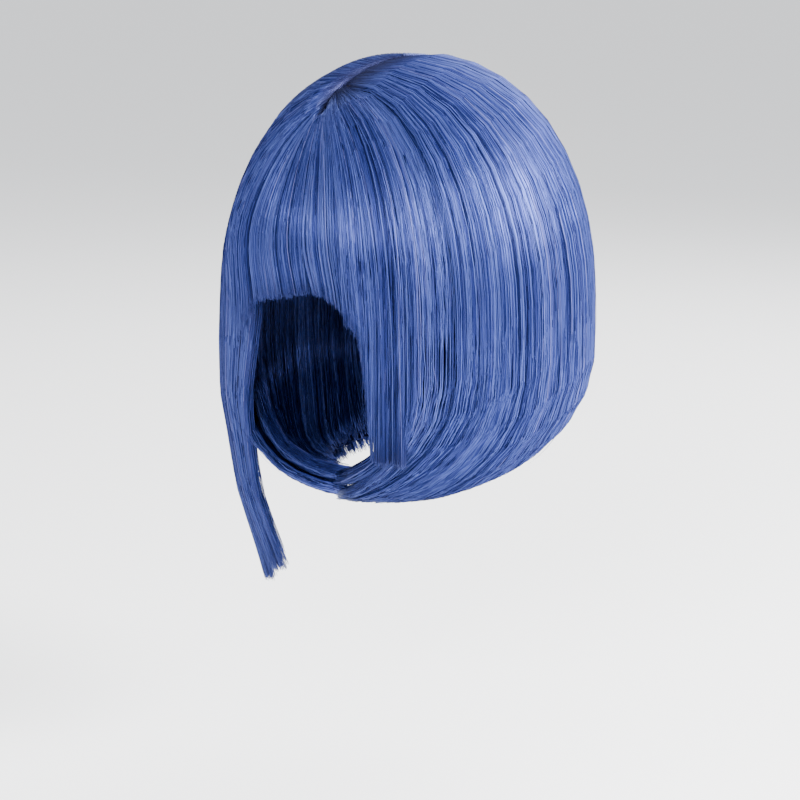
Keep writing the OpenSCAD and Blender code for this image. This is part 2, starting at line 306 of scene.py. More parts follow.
@dataclass(frozen=True)
class FibreFinish:
    """Glossy synthetic fibre: its colour runs with each strand's tone and along its length."""

    name: str = "hair_fibre"
    deep: tuple[float, float, float] = (0.0020, 0.0030, 0.026)
    body: tuple[float, float, float] = (0.0112, 0.0160, 0.096)
    light: tuple[float, float, float] = (0.054, 0.076, 0.262)
    violet: tuple[float, float, float] = (0.090, 0.100, 0.285)
    root: tuple[float, float, float] = (0.034, 0.032, 0.075)
    glint: tuple[float, float, float] = (0.50, 0.60, 1.0)
    roughness: float = 0.31
    smoother: float = 0.06
    rougher: float = 0.08
    tinted_gloss: float = 0.50
    plain_gloss: float = 0.25
    root_reach: float = 0.045
    root_share: float = 0.60

    def material(self) -> bpy.types.Material:
        """The fibre's material, made once."""
        made = bpy.data.materials.get(self.name)
        if made:
            return made
        mat = bpy.data.materials.new(self.name)
        mat.use_nodes = True
        nodes, links = mat.node_tree.nodes, mat.node_tree.links
        shader = nodes["Principled BSDF"]
        tone = nodes.new("ShaderNodeAttribute")
        tone.attribute_name = TONE
        along = nodes.new("ShaderNodeAttribute")
        along.attribute_name = ALONG
        ramp = nodes.new("ShaderNodeValToRGB")
        stops = ((0.0, self.deep), (0.35, self.body), (0.62, self.light), (0.8, self.body),
                 (1.0, self.violet))
        while len(ramp.color_ramp.elements) < len(stops):
            ramp.color_ramp.elements.new(0.5)
        for element, (at, colour) in zip(ramp.color_ramp.elements, stops):
            element.position = at
            element.color = (*colour, 1.0)
        links.new(tone.outputs["Fac"], ramp.inputs["Fac"])
        shade = nodes.new("ShaderNodeMapRange")
        shade.inputs["From Min"].default_value = 0.0
        shade.inputs["From Max"].default_value = self.root_reach
        shade.inputs["To Min"].default_value = self.root_share
        shade.inputs["To Max"].default_value = 0.0
        links.new(along.outputs["Fac"], shade.inputs["Value"])
        mix = nodes.new("ShaderNodeMix")
        mix.data_type = "RGBA"
        links.new(shade.outputs["Result"], mix.inputs["Factor"])
        links.new(ramp.outputs["Color"], mix.inputs["A"])
        mix.inputs["B"].default_value = (*self.root, 1.0)
        links.new(mix.outputs["Result"], shader.inputs["Base Color"])
        rough = nodes.new("ShaderNodeMapRange")
        rough.inputs["To Min"].default_value = self.roughness - self.smoother
        rough.inputs["To Max"].default_value = self.roughness + self.rougher
        links.new(tone.outputs["Fac"], rough.inputs["Value"])
        links.new(rough.outputs["Result"], shader.inputs["Roughness"])
        shader.inputs["Specular IOR Level"].default_value = self.plain_gloss
        shader.inputs["Metallic"].default_value = self.tinted_gloss
        shader.inputs["Specular Tint"].default_value = (*self.glint, 1.0)
        return mat


@dataclass(frozen=True)
class StageFinish:
    """The plain pale floor."""

    colour: tuple[float, float, float] = (0.94, 0.94, 0.945)
    roughness: float = 0.9

    def material(self) -> bpy.types.Material:
        """The floor's material."""
        mat = bpy.data.materials.new("pale_floor")
        mat.use_nodes = True
        shader = mat.node_tree.nodes["Principled BSDF"]
        shader.inputs["Base Color"].default_value = (*self.colour, 1.0)
        shader.inputs["Roughness"].default_value = self.roughness
        return mat


# ---------------------------------------------------------------------------------------------
# Strands


@dataclass
class Strands:
    """Many strand paths of the same number of points, with a tone and a width for each."""

    paths: np.ndarray
    tone: np.ndarray
    half_width: np.ndarray
    blunt: float = 0.6
    flat: float = 0.8
    middle: float = -0.12
    map_edge: float = 0.01
    map_lean: float = 0.006

    def resampled(self, steps: int) -> np.ndarray:
        """The paths with steps equal stretches each."""
        seg = np.linalg.norm(np.diff(self.paths, axis=1), axis=2)
        run = np.concatenate([np.zeros((len(seg), 1)), np.cumsum(seg, axis=1)], axis=1)
        run /= run[:, -1:]
        want = np.linspace(0.0, 1.0, steps + 1)
        out = np.empty((len(run), steps + 1, 3))
        for i, (r, p) in enumerate(zip(run, self.paths)):
            for axis in range(3):
                out[i, :, axis] = np.interp(want, r, p[:, axis])
        return out

    def mesh(self, name: str, steps: int) -> bpy.types.Object:
        """One mesh of closed, tapered, three-sided tubes, one for each strand.

        Args:
            name: the object's name.
            steps: how many stretches each strand has.

        Returns:
            The linked object, with its tone, its place along the strand and its bake map.
        """
        p = self.resampled(steps)
        count, rows = p.shape[:2]
        ahead = np.gradient(p, axis=1)
        ahead /= np.maximum(np.linalg.norm(ahead, axis=2, keepdims=True), 1e-9)
        out = p - np.array([0.0, FORM.centre_y, self.middle])
        out -= (out * ahead).sum(axis=2, keepdims=True) * ahead
        out /= np.maximum(np.linalg.norm(out, axis=2, keepdims=True), 1e-9)
        across = np.cross(ahead, out)
        u = np.linspace(0.0, 1.0, rows)
        taper = np.minimum(smooth(u, -0.02, 0.05), 1.0 - (1.0 - self.blunt) * smooth(u, 0.8, 1.0))
        r = self.half_width[:, None, None] * taper[None, :, None]
        turn = math.tau * np.arange(3) / 3
        ring = p[:, :, None, :] + r[..., None] * (
            out[:, :, None, :] * np.cos(turn)[None, None, :, None] * self.flat
            + across[:, :, None, :] * np.sin(turn)[None, None, :, None]
        )
        verts = ring.reshape(-1, 3)
        base = (np.arange(count) * rows * 3)[:, None, None]
        k = np.arange(rows - 1)[None, :, None] * 3
        j = np.arange(3)[None, None, :]
        nxt = (j + 1) % 3
        quads = np.stack([base + k + j, base + k + nxt, base + k + 3 + nxt, base + k + 3 + j], axis=-1)
        first = np.arange(count) * rows * 3
        last = first + (rows - 1) * 3
        caps = np.concatenate([
            np.stack([first + 2, first + 1, first], axis=-1), np.stack([last, last + 1, last + 2], axis=-1)])
        loops = np.concatenate([quads.reshape(-1), caps.reshape(-1)])
        n_quads = quads.size // 4
        starts = np.concatenate([np.arange(n_quads) * 4, n_quads * 4 + np.arange(len(caps)) * 3])
        mesh = bpy.data.meshes.new(name)
        mesh.vertices.add(len(verts))
        mesh.vertices.foreach_set("co", verts.astype(np.float32).ravel())
        mesh.loops.add(len(loops))
        mesh.loops.foreach_set("vertex_index", loops.astype(np.int32))
        mesh.polygons.add(len(starts))
        mesh.polygons.foreach_set("loop_start", starts.astype(np.int32))
        mesh.update(calc_edges=True)
        mesh.shade_smooth()
        tones = np.repeat(self.tone, rows * 3)
        alongs = np.tile(np.repeat(u, 3), count)
        keep_values(mesh, TONE, tones)
        keep_values(mesh, ALONG, alongs)
        corner = np.tile(np.array([-1.0, 0.0, 1.0]), count * rows) * self.map_lean
        span = 1.0 - 2.0 * self.map_edge
        across_map = np.clip(self.map_edge + span * tones + corner, 0.0, 1.0)
        uv = np.stack([self.map_edge + span * alongs, across_map], axis=-1)
        layer = mesh.uv_layers.new(name=BAKE_MAP)
        layer.data.foreach_set("uv", uv[loops].astype(np.float32).ravel())
        return linked(name, mesh)


@dataclass
class HairSection:
    """A section of hair that is sewn in together: how many strands, where, and what they stand for."""

    name: str
    count: int
    steps: int
    seed: int
    bodies: tuple[str, ...]
    stands_for: tuple[str, ...]
    slot: str = "hair"
    finish: FibreFinish = field(default_factory=FibreFinish)
    half_width: float = 0.00028
    finest: float = 0.7
    coarsest: float = 1.15
    thick: float = 0.0040
    tone: float = 0.46
    tone_wide: float = 0.07
    tone_clump: float = 0.13
    tone_own: float = 0.21
    # Painted shade inside the hair: the tone drops by the first of these at the depth given by the second.
    painted_depth_shade: float = 0.3
    inside: float = 0.009

    def strands(self, rng: np.random.Generator) -> Strands:
        """The section's strands."""
        raise NotImplementedError

    def tones(self, rng: np.random.Generator, phi: np.ndarray, depth: np.ndarray) -> np.ndarray:
        """Each strand's tone: its clump's, its own, and darker with depth, as painted shade.

        Args:
            rng: the section's random numbers.
            phi: the strands' angles.
            depth: how deep in the section each lies, which sets its painted shade.

        Returns:
            One tone from 0 to 1 for each strand.
        """
        wide = ripple(phi, 11, WIDE_WAVES) * self.tone_wide
        clump = ripple(phi, 12, CLUMP_WAVES) * self.tone_clump
        own = rng.normal(0.0, self.tone_own, len(phi))
        # Deeper strands are darkened: painted shade inside the hair.
        return np.clip(self.tone + wide + clump + own - depth / self.inside * self.painted_depth_shade, 0.0, 1.0)

    def depths(self, rng: np.random.Generator) -> np.ndarray:
        """How deep in the section each strand lies, most of them near the outside."""
        return self.thick * rng.uniform(0.0, 1.0, self.count) ** 1.3

    def widths(self, rng: np.random.Generator) -> np.ndarray:
        """Each strand's half width."""
        return self.half_width * rng.uniform(self.finest, self.coarsest, self.count)

    def build(self) -> bpy.types.Object:
        """Make the section's mesh, dress it and place it with its hang method."""
        rng = np.random.default_rng(self.seed)
        obj = self.strands(rng).mesh(self.name, self.steps)
        obj.data.materials.append(self.finish.material())
        self.hang(obj)
        if self.stands_for:
            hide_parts(*self.stands_for)
        log.info("%s: %d strands, %d faces", self.name, self.count, len(obj.data.polygons))
        return obj

    def hang(self, obj: bpy.types.Object) -> None:
        """Let the piece ride on its body."""
        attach(obj, self.bodies[0])


def gathered(phi: np.ndarray, clumps: float, seed: int) -> np.ndarray:
    """The angle at the middle of the clump that each angle is in.

    Args:
        phi: the strands' angles.
        clumps: how many clumps there are in a radian.
        seed: shifts the clumps' edges, so they aren't all one width.

    Returns:
        One angle for each strand.
    """
    shifted = phi + ripple(phi, seed, (37.0, 71.0)) * 0.35 / clumps
    return phi + (np.floor(shifted * clumps) + 0.5) / clumps - shifted


def over_the_dome(root: np.ndarray, phi: np.ndarray, samples: int, pull: float,
                  spread: float | np.ndarray) -> tuple[np.ndarray, np.ndarray]:
    """Angles and places of strands that run from their roots over the dome to its widest ring.

    Args:
        root: each strand's root on the plan.
        phi: the angle at which each strand reaches the ring.
        samples: how many samples to take.
        pull: how soon the strand makes its fore-and-aft run.
        spread: how soon it makes its run sideways; less makes it fan out later.

    Returns:
        The angle and the place at each sample.
    """
    end = FORM.ring(phi)
    aside = root[:, 0] + spread * (end[:, 0] - root[:, 0])
    along = root[:, 1] + pull * (end[:, 1] - root[:, 1])
    ctrl = np.stack([aside, along], axis=-1)
    w = np.sin(np.linspace(0.0, math.pi / 2, samples))[None, :, None]
    plan = (1 - w) ** 2 * root[:, None] + 2 * w * (1 - w) * ctrl[:, None] + w**2 * end[:, None]
    angle, place = FORM.over(plan[..., 0], plan[..., 1])
    angle[:, -1], place[:, -1] = phi, 1.0
    turn = np.round((phi[:, None] - angle) / math.tau) * math.tau
    return angle + turn, place


def wavering(rng: np.random.Generator, size: float, way: np.ndarray, count: int) -> np.ndarray:
    """A slow sideways waver, different for each strand.

    Args:
        rng: the section's random numbers.
        size: how far a strand strays, in radians.
        way: how far along its waves each sample is.
        count: how many strands there are.

    Returns:
        The change of angle at each sample.
    """
    return rng.normal(0, size, count)[:, None] * np.sin(way + rng.uniform(0, 6, count)[:, None])


def lengths(points: np.ndarray) -> np.ndarray:
    """How far along each path its points lie."""
    seg = np.linalg.norm(np.diff(points, axis=1), axis=2)
    return np.concatenate([np.zeros((len(seg), 1)), np.cumsum(seg, axis=1)], axis=1)


def drawn_together(phi: np.ndarray, seed: int) -> np.ndarray:
    """How far each strand leans towards the fine and the broad clump that it is in."""
    fine, broad = gathered(phi, 68.0, seed), gathered(phi, 17.0, seed + 1)
    return (fine - phi) * 0.45 + (broad - phi) * 0.16


@dataclass(frozen=True)
class Parting:
    """The line on top of the head that the hair leaves to each side."""

    front: float = -0.073
    back: float = 0.022
    lean: float = -0.003
    groove: float = 0.0011
    sink: float = 0.0022
    rise: float = 0.0045
    runs_back: float = 1.35
    unevenness: float = 0.0013

    def across(self, y: np.ndarray) -> np.ndarray:
        """Where the parting lies from side to side at a place along it."""
        return self.lean * np.clip((-0.008 - y) / 0.060, 0.0, 1.0)

    def roots(self, rng: np.random.Generator, phi: np.ndarray, side: np.ndarray | float) -> np.ndarray:
        """Where on the plan the strands that fall at the given angles leave the parting.

        Args:
            rng: the section's random numbers.
            phi: the strands' angles.
            side: 1 for strands that leave to the wearer's left and -1 for the right.

        Returns:
            One plan point for each strand.
        """
        share = np.clip(np.abs(phi) / math.pi, 0.0, 1.0)
        y = self.front + (self.back - self.front) * share**self.runs_back
        y = y + rng.normal(0, self.unevenness, len(phi))
        x = self.across(y) + side * (self.groove * rng.uniform(0.6, 1.5, len(phi)))
        return np.stack([x, y], axis=-1)

    def sunk(self, angle: np.ndarray, place: np.ndarray) -> np.ndarray:
        """How deep strands start in the groove, at each point of their way over the dome."""
        run = lengths(FORM.point(angle, place, np.zeros_like(angle)))
        return self.sink * np.exp(-run / self.rise)


PARTING = Parting()


@dataclass
class CoverHair(HairSection):
    """The outer layer, from the parting over the dome to the hem, between two angles."""

    low: float = math.radians(57)
    high: float = math.radians(118)
    longer_left: float = 0.06
    longer_right: float = 0.28

    def strands(self, rng: np.random.Generator) -> Strands:
        """Strands from the parting to the hem, longer where the hem runs under the chin."""
        phi = np.linspace(self.low, self.high, self.count) + rng.uniform(-0.01, 0.01, self.count)
        root = PARTING.roots(rng, phi, np.sign(self.low + self.high))
        angle, place = over_the_dome(root, phi, COVER_SAMPLES, COVER_PULL, cover_spread(phi))
        longer = FORM.forward(phi) * np.where(phi < 0, self.longer_right, self.longer_left)
        tip = 2.0 + rng.uniform(0.90, 1.0, self.count) + longer
        angle, place = fallen(angle, place, phi, tip, FALL_SAMPLES)
        depth = self.depths(rng)
        fall = np.clip(place / 3.0, 0.0, 1.0)
        angle = angle + drawn_together(phi, 21)[:, None] * fall
        angle += wavering(rng, 0.008, fall * 5, self.count)
        bump = (0.0005 * ripple(phi, 31, SURFACE_WAVES))[:, None] * fall
        inward = depth[:, None] + np.abs(bump) + PARTING.sunk(angle, place)
        return Strands(FORM.point(angle, place, inward), self.tones(rng, phi, depth), self.widths(rng))


def cover_spread(phi: np.ndarray) -> np.ndarray:
    """How soon outer strands run sideways: later at the side of the head, sooner at the back."""
    return 0.25 + 0.3 * smooth(np.abs(phi), 1.0, 2.0)


def fallen(angle: np.ndarray, place: np.ndarray, phi: np.ndarray, tip: np.ndarray, samples: int
           ) -> tuple[np.ndarray, np.ndarray]:
    """Carry strands on from the widest ring straight down to their tips.

    Args:
        angle: the angles over the dome.
        place: the places over the dome.
        phi: the angle each strand falls at.
        tip: the place at which each strand ends.
        samples: how many samples to take on the way down.

    Returns:
        The angles and places of the whole strands.
    """
    down = np.linspace(0.0, 1.0, samples)[None, 1:]
    place = np.concatenate([place, 1.0 + (tip[:, None] - 1.0) * down], axis=1)
    return np.concatenate([angle, np.repeat(phi[:, None], samples - 1, axis=1)], axis=1), place


def cut_at(angle: np.ndarray, place: np.ndarray, end: np.ndarray,
           samples: int) -> tuple[np.ndarray, np.ndarray]:
    """Shorten strands so that each ends at its own place.

    Args:
        angle: the angles along the whole strands.
        place: the places along them, which only grow.
        end: the place at which each is cut.
        samples: how many samples the cut strands have.

    Returns:
        The angles and places of the cut strands.
    """
    share = np.linspace(0.0, 1.0, samples)
    places = place[:, :1] + (end[:, None] - place[:, :1]) * share[None]
    angles = np.stack([np.interp(p, q, a) for p, q, a in zip(places, place, angle)])
    return angles, places


@dataclass
class Fringe(HairSection):
    """The fringe, from the front of the parting down the forehead, cut blunt and curled in."""

    low: float = math.radians(-34)
    high: float = math.radians(25)
    notch: float = math.radians(9)
    cut: float = -0.1150
    diagonal: float = 0.024
    curl: float = 0.012
    fan: float = math.radians(1.5)
    thick: float = 0.0048
    opening: float = 0.022

    def cuts(self, rng: np.random.Generator, phi: np.ndarray) -> np.ndarray:
        """The height each strand is cut at.

        The cut is level up to the notch, then longer towards the short lock. A few strands towards the long
        lock are longer too.

        Args:
            rng: the section's random numbers.
            phi: the strands' angles.

        Returns:
            One height for each strand.
        """
        left = np.clip((phi - self.notch) / (self.high - self.notch), 0.0, 1.0)
        level = self.cut + 0.004 * smooth(phi, -0.20, self.notch) - 0.004 * smooth(-phi, 0.05, 0.5)
        level = level - 0.030 * smooth(-phi, 0.26, 0.60) * rng.uniform(0.0, 1.0, len(phi))
        ragged = rng.normal(0, 0.0012, len(phi)) + 0.0014 * ripple(phi, 44, (60.0, 90.0, 143.0))
        return level - self.diagonal * left**2.2 + ragged

    def strands(self, rng: np.random.Generator) -> Strands:
        """Strands fanned over the forehead, with a thin notch above the left eye."""
        n = self.count
        phi = np.linspace(self.low, self.high, n) + rng.uniform(-0.01, 0.01, n)
        depth = self.depths(rng)
        root = PARTING.roots(rng, phi, np.where(rng.uniform(-0.15, 0.15, n) + phi > 0, 1.0, -1.0))
        angle, place = over_the_dome(root, phi, DOME_SAMPLES, 0.17, 0.05 + 0.10 * np.abs(phi))
        angle, place = cut_at(angle, place, FORM.place_of(self.cuts(rng, phi)), DOME_SAMPLES)
        down = smooth(place, 0.45, 1.0)
        late = smooth(place, 0.80, 0.96)
        angle = angle + drawn_together(phi, 41)[:, None] * down * 1.2
        off = phi - self.notch
        angle += self.opening * (np.exp(-(off / 0.05) ** 2) * np.sign(off))[:, None] * late
        angle += self.fan * late
        angle += wavering(rng, 0.006, place * 4, n)
        z = FORM.point(angle, place, np.zeros_like(angle))[..., 2]
        centre = np.clip(1.0 - np.abs(phi) / math.radians(60), 0.0, 1.0)[:, None]
        inward = depth[:, None] + self.curl * centre * smooth(-z, 0.066, 0.128) ** 1.2
        inward = inward + PARTING.sunk(angle, place)
        inward += np.abs(0.0006 * ripple(phi, 43, (23.0, 37.0, 71.0)))[:, None] * down
        return Strands(FORM.point(angle, place, inward), self.tones(rng, phi, depth), self.widths(rng),
                       blunt=0.5)

    def hang(self, obj: bpy.types.Object) -> None:
        """Bake the fringe's placement into its mesh."""
        hang_from(obj)


def hang_from(obj: bpy.types.Object) -> None:
    """Bake the hair's placement into its mesh."""
    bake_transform(obj)


@dataclass
class FaceLock(HairSection):
    """A lock that frames the face, from the parting over the temple and straight down."""

    side: Side = Side.LEFT
    front: float = math.radians(22.5)
    back: float = math.radians(60)
    cut: float = -0.207
    ragged: float = 0.0018
    tuck: float = 0.08
    joins: bool = True
    joins_from: float = math.radians(41)
    joins_full: float = math.radians(50)
    thick: float = 0.0050

    def ends(self, rng: np.random.Generator, phi: np.ndarray) -> np.ndarray:
        """The height each strand is cut at: feathered up at the front, then blunt."""
        front = np.clip((phi - math.radians(23.5)) / math.radians(7.5), 0.0, 1.0)
        own = np.abs(rng.normal(0, 1, len(phi)))
        ragged = self.ragged * (own + 0.8 * ripple(phi, 53, (60.0, 113.0, 171.0)))
        return -0.131 + (self.cut + 0.131) * front**2.2 + ragged

    def placed(self, share: np.ndarray, angle: np.ndarray, place: np.ndarray, drop: np.ndarray,
               depth: np.ndarray) -> np.ndarray:
        """Points of the lock, as on the wearer's left.

        Args:
            share: where each strand lies in the lock, 0 at the front edge and 1 at the back.
            angle: angles from the face.
            place: places over the dome, 1 from the widest ring on down.
            drop: drops below the crown.
            depth: depths inside the form.

        Returns:
            An array of points.
        """
        p = FORM.point(angle, place, depth)
        edge = np.clip((math.radians(58) - angle) / math.radians(28.5), 0.0, 1.2) ** 1.5
        flick = 0.03 * np.clip(1.5 - 3 * share, 0.0, 1.0)[:, None] * smooth(drop, 0.185, 0.207)
        inward = self.tuck * edge * smooth(drop, 0.085, 0.150) + flick
        y = FORM.centre_y + (p[..., 1] - FORM.centre_y) * (1 - inward)
        return np.stack([p[..., 0] * (1 - inward), y, -drop], axis=-1)

    def strands(self, rng: np.random.Generator) -> Strands:
        """Strands that hang straight from the widest ring; the back ones may join the side hair's curl."""
        n = self.count
        share = np.linspace(0.0, 1.0, n)
        phi = self.front + (self.back - self.front) * share + rng.uniform(-0.01, 0.01, n)
        root = PARTING.roots(rng, phi, 1.0)
        root[:, 0] += PARTING.across(root[:, 1]) * (self.side.value - 1)
        angle, place = over_the_dome(root, phi, DOME_SAMPLES, 0.18, 0.05 + 0.22 * share)
        ends = self.ends(rng, phi)
        down = np.linspace(0.0, 1.0, FALL_SAMPLES)[None, 1:]
        over = -FORM.point(angle, place, np.zeros_like(angle))[..., 2]
        fall = FORM.widest_drop + (-ends[:, None] - FORM.widest_drop) * down
        drop = np.concatenate([over, fall], axis=1)
        short = -ends[:, None] < drop
        drop = np.where(short, np.maximum(-ends[:, None], over.min(axis=1)[:, None]), drop)
        angle = np.concatenate([angle, np.repeat(phi[:, None], FALL_SAMPLES - 1, axis=1)], axis=1)
        level = np.concatenate([place, np.ones((n, FALL_SAMPLES - 1))], axis=1)
        place = np.minimum(np.where(short, FORM.place_of(-drop), level), 1.0)
        # The back strands lie deeper, so their tone also takes more painted shade.
        depth = self.depths(rng) + 0.004 * smooth(share, 0.75, 1.0)
        way = smooth(drop, 0.02, -self.cut)
        angle = angle + drawn_together(phi, 51)[:, None] * way * 1.3
        angle += wavering(rng, 0.010, way * 5, n)
        inward = depth[:, None] + PARTING.sunk(angle, place)
        inward += np.abs(0.0006 * ripple(phi, 55, SURFACE_WAVES))[:, None] * way
        paths = self.placed(share, angle, place, drop, inward)
        if self.joins:
            tip = 2.0 + rng.uniform(0.88, 1.0, n)
            domed = angle[:, :DOME_SAMPLES], place[:, :DOME_SAMPLES]
            round_angle, round_place = fallen(*domed, phi, tip, FALL_SAMPLES)
            round_angle[:, DOME_SAMPLES:] += (drawn_together(phi, 51) * 1.3)[:, None]
            curl = FORM.point(round_angle, round_place, inward)
            w = smooth(phi, self.joins_from, self.joins_full)[:, None, None]
            paths = paths * (1 - w) + curl * w
        paths[..., 0] *= self.side.value
        return Strands(paths, self.tones(rng, phi * self.side.value, depth), self.widths(rng), blunt=0.45)

    def hang(self, obj: bpy.types.Object) -> None:
        """Bake the lock's placement into its mesh."""
        hang_from(obj)


@dataclass
class LongLock(FaceLock):
    """The long lock: it gathers to a narrow tail beside the cheek and drifts inwards to its two tips."""

    heights: tuple[float, ...] = (0.117, 0.150, 0.183, 0.208, 0.238, 0.259, 0.278, 0.297)
    middle_x: tuple[float, ...] = (0.0615, 0.0685, 0.0780, 0.0770, 0.0725, 0.0642, 0.0556, 0.0492)
    middle_y: tuple[float, ...] = (-0.076, -0.072, -0.064, -0.061, -0.060, -0.0595, -0.059, -0.058)
    half: tuple[float, ...] = (0.0235, 0.0205, 0.0160, 0.0140, 0.0136, 0.0157, 0.0185, 0.0195)
    bulge: tuple[float, ...] = (0.0070, 0.0060, 0.0045, 0.0030, 0.0025, 0.0020, 0.0020, 0.0020)
    joins: bool = False
    tip: float = 0.2855
    tip_between: float = 0.0085
    rounding: float = 0.010
    thinned: float = 0.050
    lean: tuple[float, float] = (0.93, 0.367)

    def ends(self, rng: np.random.Generator, phi: np.ndarray) -> np.ndarray:
        """The height each strand is cut at: two ragged tips, the back one the longer."""
        share = np.clip((phi - self.front) / (self.back - self.front), 0.0, 1.0)
        back = smooth(share, 0.45, 0.55)
        off = np.abs(share - np.where(share < 0.5, 0.30, 0.75)) / 0.27
        thin = self.thinned * rng.uniform(0.0, 1.0, len(phi)) ** 3.5
        ragged = self.ragged * np.abs(rng.normal(0, 1, len(phi)))
        return -self.tip - self.tip_between * back + self.rounding * off**3 + thin + ragged

    def placed(self, share: np.ndarray, angle: np.ndarray, place: np.ndarray, drop: np.ndarray,
               depth: np.ndarray) -> np.ndarray:
        """Points of the lock: on the form over the temple, then in a tail with its own middle and width.

        Args:
            share: where each strand lies in the lock, 0 at the front edge and 1 at the back.
            angle: angles from the face.
            place: places over the dome, 1 from the widest ring on down.
            drop: drops below the crown.
            depth: depths inside the form.

        Returns:
            An array of points.
        """
        p = FORM.point(angle, place, depth)
        p[..., 2] = -drop
        at = np.maximum(drop, self.heights[0])
        mx, my, half, bulge = (np.interp(at, self.heights, v)
                               for v in (self.middle_x, self.middle_y, self.half, self.bulge))
        a = 2 * share[:, None] - 1
        a = a + (gathered(a, 3.0, 57) - a) * 0.5 * smooth(drop, 0.250, 0.292)
        out = bulge * (1 - a**2) - depth * 1.1
        x = mx + self.lean[0] * a * half + self.lean[1] * out
        y = my + self.lean[1] * a * half - self.lean[0] * out
        tail = np.stack([x, y, -drop], axis=-1)
        w = smooth(drop, 0.070, 0.128)[..., None]
        return p * (1 - w) + tail * w


@dataclass
class UnderHair(HairSection):
    """The under layer, from the sewn rows of the cap down inside the bob to the hem."""

    low: float = math.radians(66)
    high: float = math.radians(118)
    nearest: float = 0.0105
    furthest: float = 0.0165
    longer_right: float = 0.25
    row_reach: tuple[float, ...] = (math.radians(100), math.radians(116), math.radians(122))
    row_count: tuple[int, ...] = (1, 3, 5, 8)
    row_off: float = 0.0026

    def strands(self, rng: np.random.Generator) -> Strands:
        """Strands from the weft rows to the inside of the hem."""
        n = self.count
        phi = np.linspace(self.low, self.high, n) + rng.uniform(-0.012, 0.012, n)
        zone = np.searchsorted(self.row_reach, np.minimum(np.abs(phi), math.tau - phi))
        row = CAP.row_height(np.floor(rng.uniform(0, 1, n) * np.array(self.row_count)[zone]))
        share = np.linspace(0.0, 1.0, DOME_SAMPLES)[None]
        first = FORM.place_of(row)[:, None]
        tip = 2.0 + rng.uniform(0.82, 0.98, n) + FORM.forward(phi) * np.where(phi < 0, self.longer_right, 0.0)
        place = first + (tip[:, None] - first) * share
        angle = phi[:, None] + drawn_together(phi, 61)[:, None] * share * 1.3
        angle = angle + wavering(rng, 0.012, share * 5, n)
        depth = rng.uniform(self.nearest, self.furthest, n)
        low = FORM.point(angle, place, np.repeat(depth[:, None], DOME_SAMPLES, axis=1))
        top = HEAD.point(phi, row, self.row_off)[:, None, :]
        off = smooth(share, 0.0, 0.34)[..., None]
        # The under layer's tone takes painted shade from its depth, counted from 8 mm in.
        return Strands(top * (1 - off) + low * off, self.tones(rng, phi, depth - 0.008), self.widths(rng))


@dataclass
class Flyaways(HairSection):
    """Single fine strands that stand off the rest."""

    finest: float = 0.35
    coarsest: float = 0.55
    last_place: float = 2.7
    stand_off: float = 0.0022

    def strands(self, rng: np.random.Generator) -> Strands:
        """Thin wavering strands over the sides, the back and the hem."""
        n = self.count
        phi = rng.uniform(math.radians(40), math.radians(320), n)
        phi = np.where(phi > math.pi, phi - math.tau, phi)
        share = np.linspace(0.0, 1.0, DOME_SAMPLES)[None]
        first = rng.uniform(0.35, 1.6, n)[:, None]
        last = np.minimum(first + rng.uniform(0.7, 2.0, n)[:, None], self.last_place)
        place = first + (last - first) * share
        angle = phi[:, None] + rng.normal(0, 0.05, n)[:, None] * share
        angle = angle + wavering(rng, 0.012, share * 7, n)
        off = -rng.uniform(0.0, 1.0, n)[:, None] ** 3 * self.stand_off * smooth(share, 0.0, 0.35)
        off = off + rng.normal(0, 0.0004, n)[:, None] * np.sin(share * 9)
        return Strands(FORM.point(angle, place, off + 0.0005), self.tones(rng, phi, np.zeros(n)),
                       self.widths(rng), blunt=0.2)


@dataclass
class BaseLayer:
    """The opaque mass of fibre under the outer strands, as a thin closed sheet with one dark tone a column, the
    darkness being painted shade.
    """

    name: str
    low: float
    high: float
    columns: int
    rows: int
    seed: int
    depth: float = 0.0046
    thick: float = 0.0012
    off_parting: float = 0.0016
    tip: float = 2.93
    finish: FibreFinish = field(default_factory=FibreFinish)

    def grids(self) -> tuple[np.ndarray, np.ndarray, np.ndarray]:
        """Lay the layer's columns from the parting to the hem.

        Returns:
            The outer grid, the inner grid and the columns' tones.
        """
        rng = np.random.default_rng(self.seed)
        phi = np.linspace(self.low, self.high, self.columns)
        root = PARTING.roots(rng, phi, np.sign(self.low))
        root[:, 1] = np.sort(root[:, 1])
        root[:, 0] = PARTING.across(root[:, 1]) + np.sign(self.low) * self.off_parting
        angle, place = over_the_dome(root, phi, self.rows // 2, COVER_PULL, cover_spread(phi))
        angle, place = fallen(angle, place, phi, np.full(self.columns, self.tip), self.rows // 2)
        own = 0.10 * rng.normal(0, 1, self.columns)
        # Tones kept low as painted shade of the fibre under the outer strands; the spread between columns is
        # random.
        tone = np.clip(0.18 + own + 0.08 * ripple(phi, 12, (61.0, 97.0)), 0, 0.5)
        return (FORM.point(angle, place, np.full_like(angle, self.depth)),
                FORM.point(angle, place, np.full_like(angle, self.depth + self.thick)), tone)

    def build(self) -> bpy.types.Object:
        """Make the sheet and dress it."""
        outer, inner, tone = self.grids()
        obj = closed_sheet(self.name, outer, inner, tone)
        obj.data.materials.append(self.finish.material())
        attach(obj, "cap")
        log.info("%s: %d faces", self.name, len(obj.data.polygons))
        return obj


